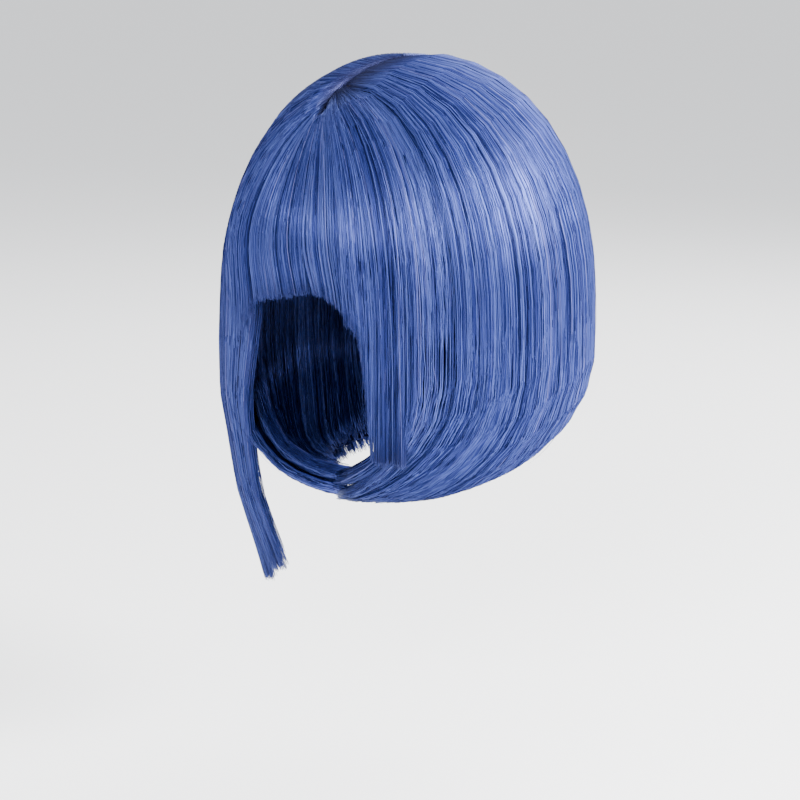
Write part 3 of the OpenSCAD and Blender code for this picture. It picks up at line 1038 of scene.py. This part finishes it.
def closed_sheet(name: str, outer: np.ndarray, inner: np.ndarray, tone: np.ndarray) -> bpy.types.Object:
    """A closed sheet between two grids of points.

    Args:
        name: the object's name.
        outer: columns by rows of points outside.
        inner: the same inside.
        tone: one tone for each column.

    Returns:
        The linked object, with its tone, its place down the sheet and its bake map.
    """
    cols, rows = outer.shape[:2]
    verts = np.concatenate([outer.reshape(-1, 3), inner.reshape(-1, 3)])
    at = np.arange(cols * rows).reshape(cols, rows)
    a, b, c, d = at[:-1, :-1], at[1:, :-1], at[1:, 1:], at[:-1, 1:]
    n = cols * rows
    faces = [np.stack([a, d, c, b], -1).reshape(-1, 4), np.stack([a, b, c, d], -1).reshape(-1, 4) + n]
    for edge, flip in ((at[:, 0], True), (at[:, -1], False), (at[0, :], False), (at[-1, :], True)):
        p, q = edge[:-1], edge[1:]
        quad = np.stack([p, q, q + n, p + n], -1)
        faces.append(quad[:, ::-1] if flip else quad)
    mesh = bpy.data.meshes.new(name)
    quads = np.concatenate(faces)
    u = np.tile(np.linspace(0.0, 1.0, rows), cols * 2)
    tones = np.tile(np.repeat(tone, rows), 2)
    mesh.from_pydata(verts.tolist(), [], quads.tolist())
    mesh.shade_smooth()
    keep_values(mesh, TONE, tones)
    keep_values(mesh, ALONG, u)
    loops = quads.reshape(-1)
    wide = np.tile(np.repeat((np.arange(cols) % 2) * 0.008, rows), 2)
    uv = np.stack([0.01 + 0.98 * u, np.clip(0.01 + 0.98 * tones + wide, 0.0, 1.0)], axis=-1)
    mesh.uv_layers.new(name=BAKE_MAP).data.foreach_set("uv", uv[loops].astype(np.float32).ravel())
    return linked(name, mesh)


# ---------------------------------------------------------------------------------------------
# The cap


def weave_group() -> bpy.types.NodeTree:
    """A plain weave or rib from two runs of threads, as a colour, a height and a roughness. The colour is Dark
    in the weave's hollows and Light on its crests, as painted shade, mixed with random fuzz.
    """
    made = bpy.data.node_groups.get("woven_threads")
    if made:
        return made
    group = bpy.data.node_groups.new("woven_threads", "ShaderNodeTree")
    face = group.interface
    face.new_socket("Place", in_out="INPUT", socket_type="NodeSocketVector")
    for name, value in (("Warp", 900.0), ("Weft", 900.0), ("Fuzz", 0.4), ("Smooth", 0.6)):
        face.new_socket(name, in_out="INPUT", socket_type="NodeSocketFloat").default_value = value
    for name in ("Dark", "Light"):
        face.new_socket(name, in_out="INPUT", socket_type="NodeSocketColor")
    face.new_socket("Colour", in_out="OUTPUT", socket_type="NodeSocketColor")
    face.new_socket("Height", in_out="OUTPUT", socket_type="NodeSocketFloat")
    face.new_socket("Roughness", in_out="OUTPUT", socket_type="NodeSocketFloat")
    nodes, links = group.nodes, group.links
    into, out = nodes.new("NodeGroupInput"), nodes.new("NodeGroupOutput")

    def sum_of(kind: str, a: bpy.types.NodeSocket | float,
               b: bpy.types.NodeSocket | float) -> bpy.types.NodeSocket:
        """Add one math node.

        Args:
            kind: what it works out.
            a: its first value, or the socket that gives it.
            b: its second.

        Returns:
            The socket with the result.
        """
        node = nodes.new("ShaderNodeMath")
        node.operation = kind
        for socket, value in zip(node.inputs, (a, b)):
            if isinstance(value, float):
                socket.default_value = value
            else:
                links.new(value, socket)
        return node.outputs[0]

    split = nodes.new("ShaderNodeSeparateXYZ")
    links.new(into.outputs["Place"], split.inputs[0])
    warp = sum_of("SINE", sum_of("MULTIPLY", split.outputs[0], into.outputs["Warp"]), 0.0)
    weft = sum_of("SINE", sum_of("MULTIPLY", split.outputs[1], into.outputs["Weft"]), 0.0)
    height = sum_of("ADD", sum_of("MULTIPLY", sum_of("MULTIPLY", warp, weft), 0.5), 0.5)
    fuzz = nodes.new("ShaderNodeTexNoise")
    fuzz.inputs["Scale"].default_value = 700.0
    fuzz.inputs["Detail"].default_value = 3.0
    links.new(into.outputs["Place"], fuzz.inputs["Vector"])
    blend = nodes.new("ShaderNodeMix")
    links.new(into.outputs["Fuzz"], blend.inputs[0])
    links.new(height, blend.inputs[2])
    links.new(fuzz.outputs["Fac"], blend.inputs[3])
    # Darker in the weave's hollows and lighter on its crests: painted shade between the threads, mixed with
    # random fuzz.
    colour = nodes.new("ShaderNodeMix")
    colour.data_type = "RGBA"
    links.new(blend.outputs[0], colour.inputs["Factor"])
    links.new(into.outputs["Dark"], colour.inputs["A"])
    links.new(into.outputs["Light"], colour.inputs["B"])
    links.new(colour.outputs["Result"], out.inputs["Colour"])
    links.new(blend.outputs[0], out.inputs["Height"])
    links.new(sum_of("ADD", into.outputs["Smooth"], sum_of("MULTIPLY", fuzz.outputs["Fac"], 0.25)),
              out.inputs["Roughness"])
    return group


@dataclass(frozen=True)
class ClothFinish:
    """A woven, knitted or brushed cloth, with its threads counted in turns of a sine for each metre."""

    name: str
    # dark goes into the weave's hollows as painted shade, and with the fuzz as random tone; light goes on the
    # crests.
    dark: tuple[float, float, float]
    light: tuple[float, float, float]
    warp: float = 4200.0
    weft: float = 4200.0
    fuzz: float = 0.35
    smooth: float = 0.55
    depth: float = 0.00025
    on_surface: bool = True
    sheen: float = 0.15
    relief: float = 0.8

    def material(self) -> bpy.types.Material:
        """The cloth's material, made once."""
        made = bpy.data.materials.get(self.name)
        if made:
            return made
        mat = bpy.data.materials.new(self.name)
        mat.use_nodes = True
        nodes, links = mat.node_tree.nodes, mat.node_tree.links
        shader = nodes["Principled BSDF"]
        shader.inputs["Sheen Weight"].default_value = self.sheen
        weave = nodes.new("ShaderNodeGroup")
        weave.node_tree = weave_group()
        if self.on_surface:
            links.new(nodes.new("ShaderNodeUVMap").outputs["UV"], weave.inputs["Place"])
        else:
            links.new(nodes.new("ShaderNodeTexCoord").outputs["Object"], weave.inputs["Place"])
        for key, value in (("Warp", self.warp), ("Weft", self.weft), ("Fuzz", self.fuzz),
                           ("Smooth", self.smooth)):
            weave.inputs[key].default_value = value
        weave.inputs["Dark"].default_value = (*self.dark, 1.0)
        weave.inputs["Light"].default_value = (*self.light, 1.0)
        links.new(weave.outputs["Colour"], shader.inputs["Base Color"])
        links.new(weave.outputs["Roughness"], shader.inputs["Roughness"])
        bump = nodes.new("ShaderNodeBump")
        bump.inputs["Distance"].default_value = self.depth
        bump.inputs["Strength"].default_value = self.relief
        links.new(weave.outputs["Height"], bump.inputs["Height"])
        links.new(bump.outputs["Normal"], shader.inputs["Normal"])
        return mat


NET_YARN = ClothFinish("net_yarn", (0.010, 0.014, 0.040), (0.035, 0.050, 0.120), warp=9000.0, weft=9000.0,
                       on_surface=False)
TAPE = ClothFinish("ribbed_tape", (0.016, 0.024, 0.075), (0.050, 0.072, 0.180), warp=5200.0, weft=2600.0)
SCALP = ClothFinish("scalp_cloth", (0.050, 0.038, 0.046), (0.125, 0.098, 0.105), warp=6000.0, weft=6000.0)
WEFT_TAPE = ClothFinish("weft_header", (0.008, 0.015, 0.085), (0.030, 0.052, 0.190), warp=7000.0, weft=2400.0)
LOOPS = ClothFinish("brushed_loops", (0.008, 0.009, 0.014), (0.045, 0.050, 0.070), warp=3000.0, weft=3000.0,
                    fuzz=0.9, smooth=0.75, depth=0.0006)
HOOKS = ClothFinish("hook_tape", (0.010, 0.011, 0.016), (0.060, 0.064, 0.085), warp=5000.0, weft=5000.0,
                    fuzz=0.15, smooth=0.4, depth=0.0004)
ELASTIC = ClothFinish("elastic_braid", (0.012, 0.014, 0.024), (0.065, 0.072, 0.105), warp=5200.0, weft=7000.0)
LABEL = ClothFinish("label_satin", (0.62, 0.62, 0.64), (0.82, 0.82, 0.84), warp=9000.0, weft=1500.0,
                    smooth=0.35)
THREAD = ClothFinish("sewing_thread", (0.045, 0.070, 0.200), (0.130, 0.180, 0.400), warp=9000.0, weft=9000.0,
                     on_surface=False)


@dataclass
class Cloth:
    """A strip of cloth that its laid method bends into place.

    Its size is a round figure that sets how fine the weave, the seams and the stitches are.
    """

    name: str
    node: str
    slot: str
    finish: ClothFinish
    size: tuple[float, float]
    columns: int
    rows: int
    wall: float
    stitch_rows: tuple[float, ...] = (0.14, 0.86)
    body: str = "cap"
    edge_relief: float = -0.00022
    edge_width: float = 0.0004
    row_relief: float = 0.00016
    row_width: float = 0.0006
    stitched: float = 0.68
    seated: float = 0.00002
    crease: float = math.radians(50)

    def laid(self, u: np.ndarray, v: np.ndarray, off: float) -> np.ndarray:
        """Where the cloth lies.

        Args:
            u: share along it.
            v: share across it.
            off: how far the face is from the cloth's middle.

        Returns:
            An array of points.
        """
        raise NotImplementedError

    def shaped(self, u: np.ndarray, v: np.ndarray) -> np.ndarray:
        """The cloth's own relief: it thins at its pressed edges and dips at its stitch rows.

        Args:
            u: share along it.
            v: share across it.

        Returns:
            How much each face is lowered, as a negative height.
        """
        edge = np.minimum(np.minimum(v, 1 - v) * self.size[1], np.minimum(u, 1 - u) * self.size[0])
        relief = self.edge_relief * np.exp(-(edge / self.edge_width) ** 2)
        for row in self.stitch_rows:
            relief = relief - self.row_relief * np.exp(-((v - row) * self.size[1] / self.row_width) ** 2)
        return relief

    def build(self) -> bpy.types.Object:
        """Lay the two faces of the cloth, close them and dress it."""
        bpy.ops.object.select_all(action="DESELECT")
        bpy.ops.mesh.primitive_grid_add(x_subdivisions=self.columns, y_subdivisions=self.rows, size=2.0)
        obj = bpy.context.object
        obj.name = obj.data.name = self.name
        mesh = obj.data
        flat = points_of(mesh)
        u, v = (flat[:, 0] + 1) / 2, (flat[:, 1] + 1) / 2
        loops = np.empty(len(mesh.loops), dtype=np.int32)
        mesh.loops.foreach_get("vertex_index", loops)
        uv = np.stack([u * self.size[0], v * self.size[1]], axis=-1)[loops]
        mesh.uv_layers[0].data.foreach_set("uv", uv.astype(np.float32).ravel())
        bpy.ops.object.mode_set(mode="EDIT")
        bpy.ops.mesh.select_all(action="SELECT")
        bpy.ops.mesh.extrude_region_move()
        bpy.ops.object.mode_set(mode="OBJECT")
        every = points_of(mesh)
        u, v = (every[:, 0] + 1) / 2, (every[:, 1] + 1) / 2
        upper = np.arange(len(every)) >= len(flat)
        lift = self.wall / 2 + self.shaped(u, v)
        both = self.laid(u, v, np.where(upper, lift, -lift))
        mesh.vertices.foreach_set("co", both.astype(np.float32).ravel())
        mesh.update()
        bpy.ops.object.mode_set(mode="EDIT")
        bpy.ops.mesh.select_all(action="SELECT")
        bpy.ops.mesh.normals_make_consistent(inside=False)
        bpy.ops.object.mode_set(mode="OBJECT")
        bpy.ops.object.shade_smooth_by_angle(angle=self.crease)
        mesh.materials.append(self.finish.material())
        self.hang(obj)
        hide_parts(self.node)
        log.info("%s: %d faces", self.name, len(mesh.polygons))
        return obj

    def hang(self, obj: bpy.types.Object) -> None:
        """Let the cloth ride on its body."""
        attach(obj, self.body)

    def stitches(self, pitch: float = 0.0032) -> np.ndarray:
        """Where the stitches are on both faces.

        Args:
            pitch: how far apart they start.

        Returns:
            A pair of points for each stitch, where it starts and where it ends.
        """
        pairs = []
        for row in self.stitch_rows:
            n = max(int(self.size[0] / pitch), 2)
            start = np.arange(n) / n + 0.1 / n
            for face in (1.0, -1.0):
                lift = face * (self.wall / 2 - self.seated)
                across, raised = np.full(n, row), np.full(n, lift)
                ends = [self.laid(start + d / n, across, raised) for d in (0.0, self.stitched)]
                pairs.append(np.stack(ends, axis=1))
        return np.concatenate(pairs) if pairs else np.zeros((0, 2, 3))


@dataclass
class HeadCloth(Cloth):
    """Cloth on the head form, between two angles and two edges."""

    turn: tuple[float, float] = (0.0, 1.0)
    edges: tuple[float, float] | None = None
    off: float = 0.0006

    def laid(self, u: np.ndarray, v: np.ndarray, off: np.ndarray) -> np.ndarray:
        """Points between the net's edge and the rim, or between the two heights in edges."""
        phi = np.radians(self.turn[0] + (self.turn[1] - self.turn[0]) * u)
        if self.edges is None:
            top = CAP.net_edge(phi) - CAP.seam
            low = np.minimum(CAP.rim(phi), CAP.net_edge(phi) - 0.004)
        else:
            top, low = np.full_like(phi, self.edges[1]), np.full_like(phi, self.edges[0])
        return HEAD.point(phi, low + (top - low) * v, self.off + off)


@dataclass
class RibTape(Cloth):
    """An elastic rib inside the net, from the crown to the rim."""

    angle: float = 180.0
    top: float = 0.3
    under: float = 0.00125

    def laid(self, u: np.ndarray, v: np.ndarray, off: np.ndarray) -> np.ndarray:
        """Points along the rib."""
        phi = math.radians(self.angle)
        end = HEAD.place_of(CAP.net_edge(np.array([phi])) + 0.001)[0]
        place = self.top + (end - self.top) * u
        across = self.size[1] / 2 / (HEAD.half_width * np.sin(np.minimum(place, 1.0) * math.pi / 2))
        return HEAD.point(phi + (2 * v - 1) * across, HEAD.height_of(place), -self.under + off)


@dataclass
class NapeCloth(Cloth):
    """Cloth on the nape's arc, between two angles off the middle of the back."""

    turn: tuple[float, float] = (0.0, 1.0)
    heights: tuple[float, float] = (0.0, 1.0)
    radius: float = 0.061
    rounded: float = 0.0

    def laid(self, u: np.ndarray, v: np.ndarray, off: np.ndarray) -> np.ndarray:
        """Points on the arc; a rounded end narrows as a tab's does."""
        angle = np.radians(self.turn[0] + (self.turn[1] - self.turn[0]) * u)
        z = self.heights[0] + (self.heights[1] - self.heights[0]) * v
        if self.rounded:
            run = np.clip(1 - u * self.size[0] / self.rounded, 0.0, 1.0)
            middle = (self.heights[0] + self.heights[1]) / 2
            z = middle + (z - middle) * np.sqrt(1 - 0.75 * run**2)
        return CAP.nape(angle, self.radius + off, z)


@dataclass
class AdjusterStrap(NapeCloth):
    """An elastic strap that stretches and slackens between its anchor and its grip tab."""

    tab: str = "tab_left"

    def hang(self, obj: bpy.types.Object) -> None:
        """Work out the strap's ends and bake its placement into its mesh."""
        ends = self.laid(np.array([1.0, 0.0]), np.array([0.5, 0.5]), np.zeros(2))
        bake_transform(obj)


@dataclass
class ScalpPatch(Cloth):
    """The cloth under the parting, with a raised pleat that shows as the line of the parting."""

    half: float = 0.026
    front: float = -0.064
    back: float = 0.028
    pleat: float = 0.0030
    under: float = 0.0052
    over_net: float = 0.0016

    def laid(self, u: np.ndarray, v: np.ndarray, off: np.ndarray) -> np.ndarray:
        """Points on the head form, raised along the parting to just under the hair's roots."""
        y = self.front + (self.back - self.front) * u
        x = self.half * (2 * v - 1)
        x = np.sign(x) * self.half * (np.abs(x) / self.half) ** 1.6
        a, b = x / HEAD.half_width, -y / HEAD.half_depth
        r = np.hypot(a, b)
        height = HEAD.height_of(np.arcsin(r ** (HEAD.roundness / 2)) / (math.pi / 2))
        low = HEAD.point(np.arctan2(a, b), height, self.over_net + off)
        angle, place = FORM.over(x, y)
        top = FORM.point(angle, place, np.full_like(x, self.under) - off)
        near = np.abs(x - PARTING.across(y))
        ends = smooth(y, self.front, self.front + 0.006)
        ends = ends * (1 - smooth(y, self.back - 0.018, self.back - 0.008))
        w = ((1 - smooth(near, self.pleat, self.pleat + 0.007)) * ends)[..., None]
        return low * (1 - w) + top * w


@dataclass
class StretchNet:
    """The open net of the cap's dome, knitted in cells of about four millimetres."""

    columns: int = 96
    rows: int = 30
    yarn: float = 0.0008
    hub: float = 0.04
    crease: float = math.radians(60)

    def build(self) -> bpy.types.Object:
        """Lay a grid on the head form and turn its edges into yarn."""
        bpy.ops.object.select_all(action="DESELECT")
        bpy.ops.mesh.primitive_grid_add(x_subdivisions=self.columns, y_subdivisions=self.rows, size=2.0)
        obj = bpy.context.object
        obj.name = obj.data.name = "cap_net_yarn"
        flat = points_of(obj.data)
        phi = (flat[:, 0] + 1) * math.pi
        edge = HEAD.place_of(CAP.net_edge(phi) + CAP.seam)
        place = edge * (self.hub + (1.0 - self.hub) * (flat[:, 1] + 1) / 2)
        domed = HEAD.point(phi, HEAD.height_of(place), 0.0005)
        obj.data.vertices.foreach_set("co", domed.astype(np.float32).ravel())
        obj.data.update()
        bpy.ops.object.mode_set(mode="EDIT")
        bpy.ops.mesh.select_all(action="SELECT")
        bpy.ops.mesh.remove_doubles(threshold=0.00002)
        bpy.ops.mesh.poke()
        bpy.ops.mesh.tris_convert_to_quads(face_threshold=math.pi, shape_threshold=math.pi)
        bpy.ops.object.mode_set(mode="OBJECT")
        wire = obj.modifiers.new("yarn", "WIREFRAME")
        wire.thickness = self.yarn
        wire.use_even_offset = False
        wire.use_boundary = True
        bpy.ops.object.modifier_apply(modifier="yarn")
        bpy.ops.object.shade_smooth_by_angle(angle=self.crease)
        obj.data.materials.append(NET_YARN.material())
        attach(obj, "cap")
        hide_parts("cap_net")
        log.info("cap_net_yarn: %d faces", len(obj.data.polygons))
        return obj


@dataclass
class Stitching:
    """All the visible stitches on pieces that ride on one body, as copies of one stitch."""

    name: str
    body: str
    thick: float = 0.00022
    domed: float = 1.25

    def build(self, pairs: np.ndarray) -> bpy.types.Object:
        """Model one stitch and copy it between each pair of points.

        Args:
            pairs: where each stitch starts and ends.

        Returns:
            One object with every copy in it.
        """
        bpy.ops.object.select_all(action="DESELECT")
        bpy.ops.mesh.primitive_cylinder_add(vertices=5, radius=1.0, depth=2.0, end_fill_type="TRIFAN")
        one = bpy.context.object
        co = points_of(one.data)
        faces = [list(p.vertices) for p in one.data.polygons]
        tip = np.hypot(co[:, 0], co[:, 1]) < 0.01
        co[tip, 2] *= self.domed
        ahead = pairs[:, 1] - pairs[:, 0]
        long = np.linalg.norm(ahead, axis=1, keepdims=True)
        ahead = ahead / long
        aside = np.cross(ahead, np.array([0.31, 0.22, 0.93]))
        aside /= np.linalg.norm(aside, axis=1, keepdims=True)
        up = np.cross(ahead, aside)
        middle = pairs.mean(axis=1)
        points = (middle[:, None] + co[None, :, 2:3] * ahead[:, None] * long[:, None] * 0.42
                  + self.thick * (co[None, :, 0:1] * aside[:, None] + co[None, :, 1:2] * up[:, None]))
        step = len(co)
        every = [[i + k * step for i in f] for k in range(len(pairs)) for f in faces]
        mesh = bpy.data.meshes.new(self.name)
        mesh.from_pydata(points.reshape(-1, 3).tolist(), [], every)
        mesh.shade_smooth()
        bpy.data.objects.remove(one)
        obj = linked(self.name, mesh)
        mesh.materials.append(THREAD.material())
        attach(obj, self.body)
        log.info("%s: %d stitches", self.name, len(pairs))
        return obj


@dataclass
class WigCap:
    """The cap: net, bands, ribs, weft rows, scalp cloth, adjusters and label."""

    rib_angles: tuple[float, ...] = (104, 142, 180, 218, 256)
    rib_names: tuple[str, ...] = ("rib_left", "rib_rear_left", "rib_back", "rib_rear_right", "rib_right")
    weft_reach: tuple[float, ...] = (70, 100, 100, 116, 116, 122, 122, 122)

    def cloths(self) -> list[Cloth]:
        """Every piece of cloth but the net."""
        tape, weft = "tape", "weft"
        out: list[Cloth] = [
            HeadCloth("forehead_tape", "forehead_band", tape, TAPE, (0.150, 0.012), 60, 8, 0.0012,
                      turn=(-50, 50)),
            HeadCloth("ear_tab_cloth_left", "ear_tab_left", tape, TAPE, (0.110, 0.030), 60, 12, 0.0012,
                      turn=(50.4, 126)),
            HeadCloth("ear_tab_cloth_right", "ear_tab_right", tape, TAPE, (0.110, 0.030), 60, 12, 0.0012,
                      turn=(-50.4, -126)),
            NapeCloth("nape_tape", "nape_band", tape, TAPE, (0.136, 0.021), 70, 12, 0.0012, turn=(-64, 64),
                      heights=(-0.1525, -0.1315), radius=0.0616, stitch_rows=(0.09, 0.91)),
            HeadCloth("fringe_weft_header", "fringe_weft", weft, WEFT_TAPE, (0.100, 0.0026), 48, 5, 0.0012,
                      turn=(-40, 40), edges=(-0.0333, -0.0307), off=0.0018, stitch_rows=(0.5,)),
            ScalpPatch("scalp_cloth_patch", "scalp_patch", "scalp", SCALP, (0.092, 0.052), 60, 60, 0.0009,
                       stitch_rows=()),
            HeadCloth("label_cloth", "size_label", "label", LABEL, (0.020, 0.013), 16, 12, 0.0005,
                      turn=(173.5, 186.5), edges=(-0.123, -0.110), off=-0.00225, stitch_rows=(0.08, 0.92)),
        ]
        for name, angle in zip(self.rib_names, self.rib_angles):
            out.append(RibTape(f"{name}_tape", name, tape, TAPE, (0.120, 0.008), 44, 7, 0.0007, angle=angle))
        for k, reach in enumerate(self.weft_reach):
            z = CAP.row_height(k)
            out.append(HeadCloth(f"weft_header_{k + 1}", f"weft_row_{k + 1}", weft, WEFT_TAPE,
                                 (0.0015 * (360 - 2 * reach), 0.0026), 72, 5, 0.0012, turn=(reach, 360 - reach),
                                 edges=(z - 0.0013, z + 0.0013), off=0.0018, stitch_rows=(0.5,)))
        for side, name in ((1, "left"), (-1, "right")):
            out += [
                HeadCloth(f"temple_weft_header_{name}", f"temple_weft_{name}", weft, WEFT_TAPE, (0.018, 0.0026),
                          14, 5, 0.0012, turn=(56 * side, 68 * side), edges=(-0.0473, -0.0447), off=0.0018,
                          stitch_rows=(0.5,)),
                NapeCloth(f"loop_pad_{name}", f"grip_pad_{name}", "loop_tape", LOOPS, (0.042, 0.012),
                          40, 12, 0.0012, turn=(2 * side, 42 * side), heights=(-0.148, -0.136),
                          radius=0.0602),
                NapeCloth(f"hook_tab_{name}", f"grip_tab_{name}", "hook_tape", HOOKS, (0.0123, 0.012),
                          20, 14, 0.0012, turn=(24 * side, 36 * side), heights=(-0.148, -0.136),
                          radius=0.0586, rounded=0.004, body=f"tab_{name}"),
                AdjusterStrap(f"adjuster_strap_{name}", f"strap_{name}", "elastic", ELASTIC, (0.021, 0.009),
                              40, 8, 0.0007, turn=(36.4 * side, 57 * side), heights=(-0.1465, -0.1375),
                              radius=0.05845, stitch_rows=(), tab=f"tab_{name}"),
                NapeCloth(f"strap_fold_{name}", f"strap_anchor_{name}", "elastic", ELASTIC, (0.0048, 0.009),
                          10, 8, 0.0032, turn=(57.4 * side, 62 * side), heights=(-0.1465, -0.1375),
                          radius=0.0592, stitch_rows=(0.2, 0.5, 0.8)),
            ]
        return out

    def build(self) -> None:
        """Make the net, the cloths and the stitches."""
        StretchNet().build()
        sewn: dict[str, list[np.ndarray]] = {}
        for cloth in self.cloths():
            cloth.build()
            sewn.setdefault(cloth.body, []).append(cloth.stitches())
        for body, pairs in sewn.items():
            Stitching(f"stitches_{body}", body).build(np.concatenate(pairs))


@dataclass(frozen=True)
class Lamp:
    """One soft square light: where it hangs, how wide it is and its power."""

    name: str
    at: tuple[float, float, float]
    size: float
    power: float


@dataclass
class Studio:
    """Floor, lights and camera."""

    azimuth: float = 38.0
    elevation: float = 10.0
    distance: float = 1.60
    lens: float = 126.4
    floor_drop: float = 0.40
    below_crown: float = 0.1850
    off_middle: float = 0.0030
    lit: tuple[float, float, float] = (0.0, 0.0, -0.12)
    sky: tuple[float, float, float, float] = (0.95, 0.97, 1.0, 1.0)
    sky_strength: float = 1.25
    lamps: tuple[Lamp, ...] = (
        Lamp("key", (0.80, -1.75, 0.54), 0.75, 78.0),
        Lamp("side", (1.80, 0.45, 0.62), 0.80, 205.0),
        Lamp("top", (-0.2, 1.5, 1.3), 1.6, 64.0),
    )

    def build(self) -> None:
        """Make the floor, the lights and the camera."""
        bpy.ops.object.select_all(action="DESELECT")
        bpy.ops.mesh.primitive_plane_add(size=120.0, location=(0.0, 0.0, -self.floor_drop))
        floor = bpy.context.object
        floor.name = "floor"
        floor.data.materials.append(StageFinish().material())
        world = bpy.data.worlds.new("studio")
        bpy.context.scene.world = world
        world.use_nodes = True
        sky = world.node_tree.nodes["Background"]
        sky.inputs["Color"].default_value = self.sky
        sky.inputs["Strength"].default_value = self.sky_strength
        for lamp in self.lamps:
            self.light(lamp)
        self.camera()

    def light(self, lamp: Lamp) -> None:
        """Hang one lamp so that it faces the wig."""
        data = bpy.data.lights.new(lamp.name, "AREA")
        data.size = lamp.size
        data.energy = lamp.power
        obj = linked(lamp.name, data)
        obj.location = lamp.at
        obj.rotation_mode = "QUATERNION"
        obj.rotation_quaternion = (Vector(lamp.at) - Vector(self.lit)).to_track_quat("Z", "Y")

    def camera(self) -> None:
        """The camera, level with the cheek and off to the wearer's left."""
        a, e = math.radians(self.azimuth), math.radians(self.elevation)
        back = Vector((math.sin(a) * math.cos(e), -math.cos(a) * math.cos(e), math.sin(e)))
        up = Vector((-math.sin(a) * math.sin(e), math.cos(a) * math.sin(e), math.cos(e)))
        right = Vector((math.cos(a), math.sin(a), 0.0))
        target = up * -self.below_crown - right * self.off_middle
        data = bpy.data.cameras.new("camera")
        data.lens = self.lens
        cam = linked("camera", data)
        cam.location = target + back * self.distance
        cam.rotation_mode = "QUATERNION"
        cam.rotation_quaternion = back.to_track_quat("Z", "Y")
        bpy.context.scene.camera = cam


def main() -> None:
    """Build every piece, the studio and the camera."""
    Studio().build()
    rad = math.radians
    sections: list[HairSection] = [
        CoverHair("hair_side_left", 2000, 16, 101, ("cap",), ("side_left", "crown_left"),
                  low=rad(57), high=rad(118)),
        CoverHair("hair_side_right", 2000, 16, 102, ("cap",), ("side_right", "crown_right"),
                  low=-rad(57), high=-rad(118)),
        CoverHair("hair_back_left", 2000, 16, 103, ("cap",), ("back_panel",), low=rad(118), high=rad(180)),
        CoverHair("hair_back_right", 2000, 16, 104, ("cap",), (), low=-rad(118), high=-rad(180)),
        Fringe("hair_fringe", 2400, 13, 105, ("cap", "fringe"), ("fringe",)),
        FaceLock("hair_short_lock", 2000, 14, 106, ("cap", "short_lock"), ("short_lock",)),
        LongLock("hair_long_lock", 1600, 18, 107, ("cap", "long_lock"), ("long_lock",), side=Side.RIGHT,
                 front=rad(27), ragged=0.002, cut=-0.294),
        UnderHair("hair_under_left", 1700, 11, 108, ("cap",), ("under_left",), slot="hair_under",
                  low=rad(44), high=rad(118), nearest=0.0080),
        UnderHair("hair_under_right", 1300, 11, 109, ("cap",), ("under_right",), slot="hair_under",
                  low=-rad(62), high=-rad(118), nearest=0.0075),
        UnderHair("hair_under_back", 1700, 11, 110, ("cap",), ("under_back",), slot="hair_under",
                  low=rad(118), high=rad(242)),
        Flyaways("hair_flyaways", 170, 12, 111, ("cap",), ()),
    ]
    for section in sections:
        section.build()
    WigCap().build()
    BaseLayer("hair_base_left", rad(60), rad(180), 420, 44, 201).build()
    BaseLayer("hair_base_right", -rad(60), -rad(180), 420, 44, 202).build()


if __name__ == "__main__":
    main()
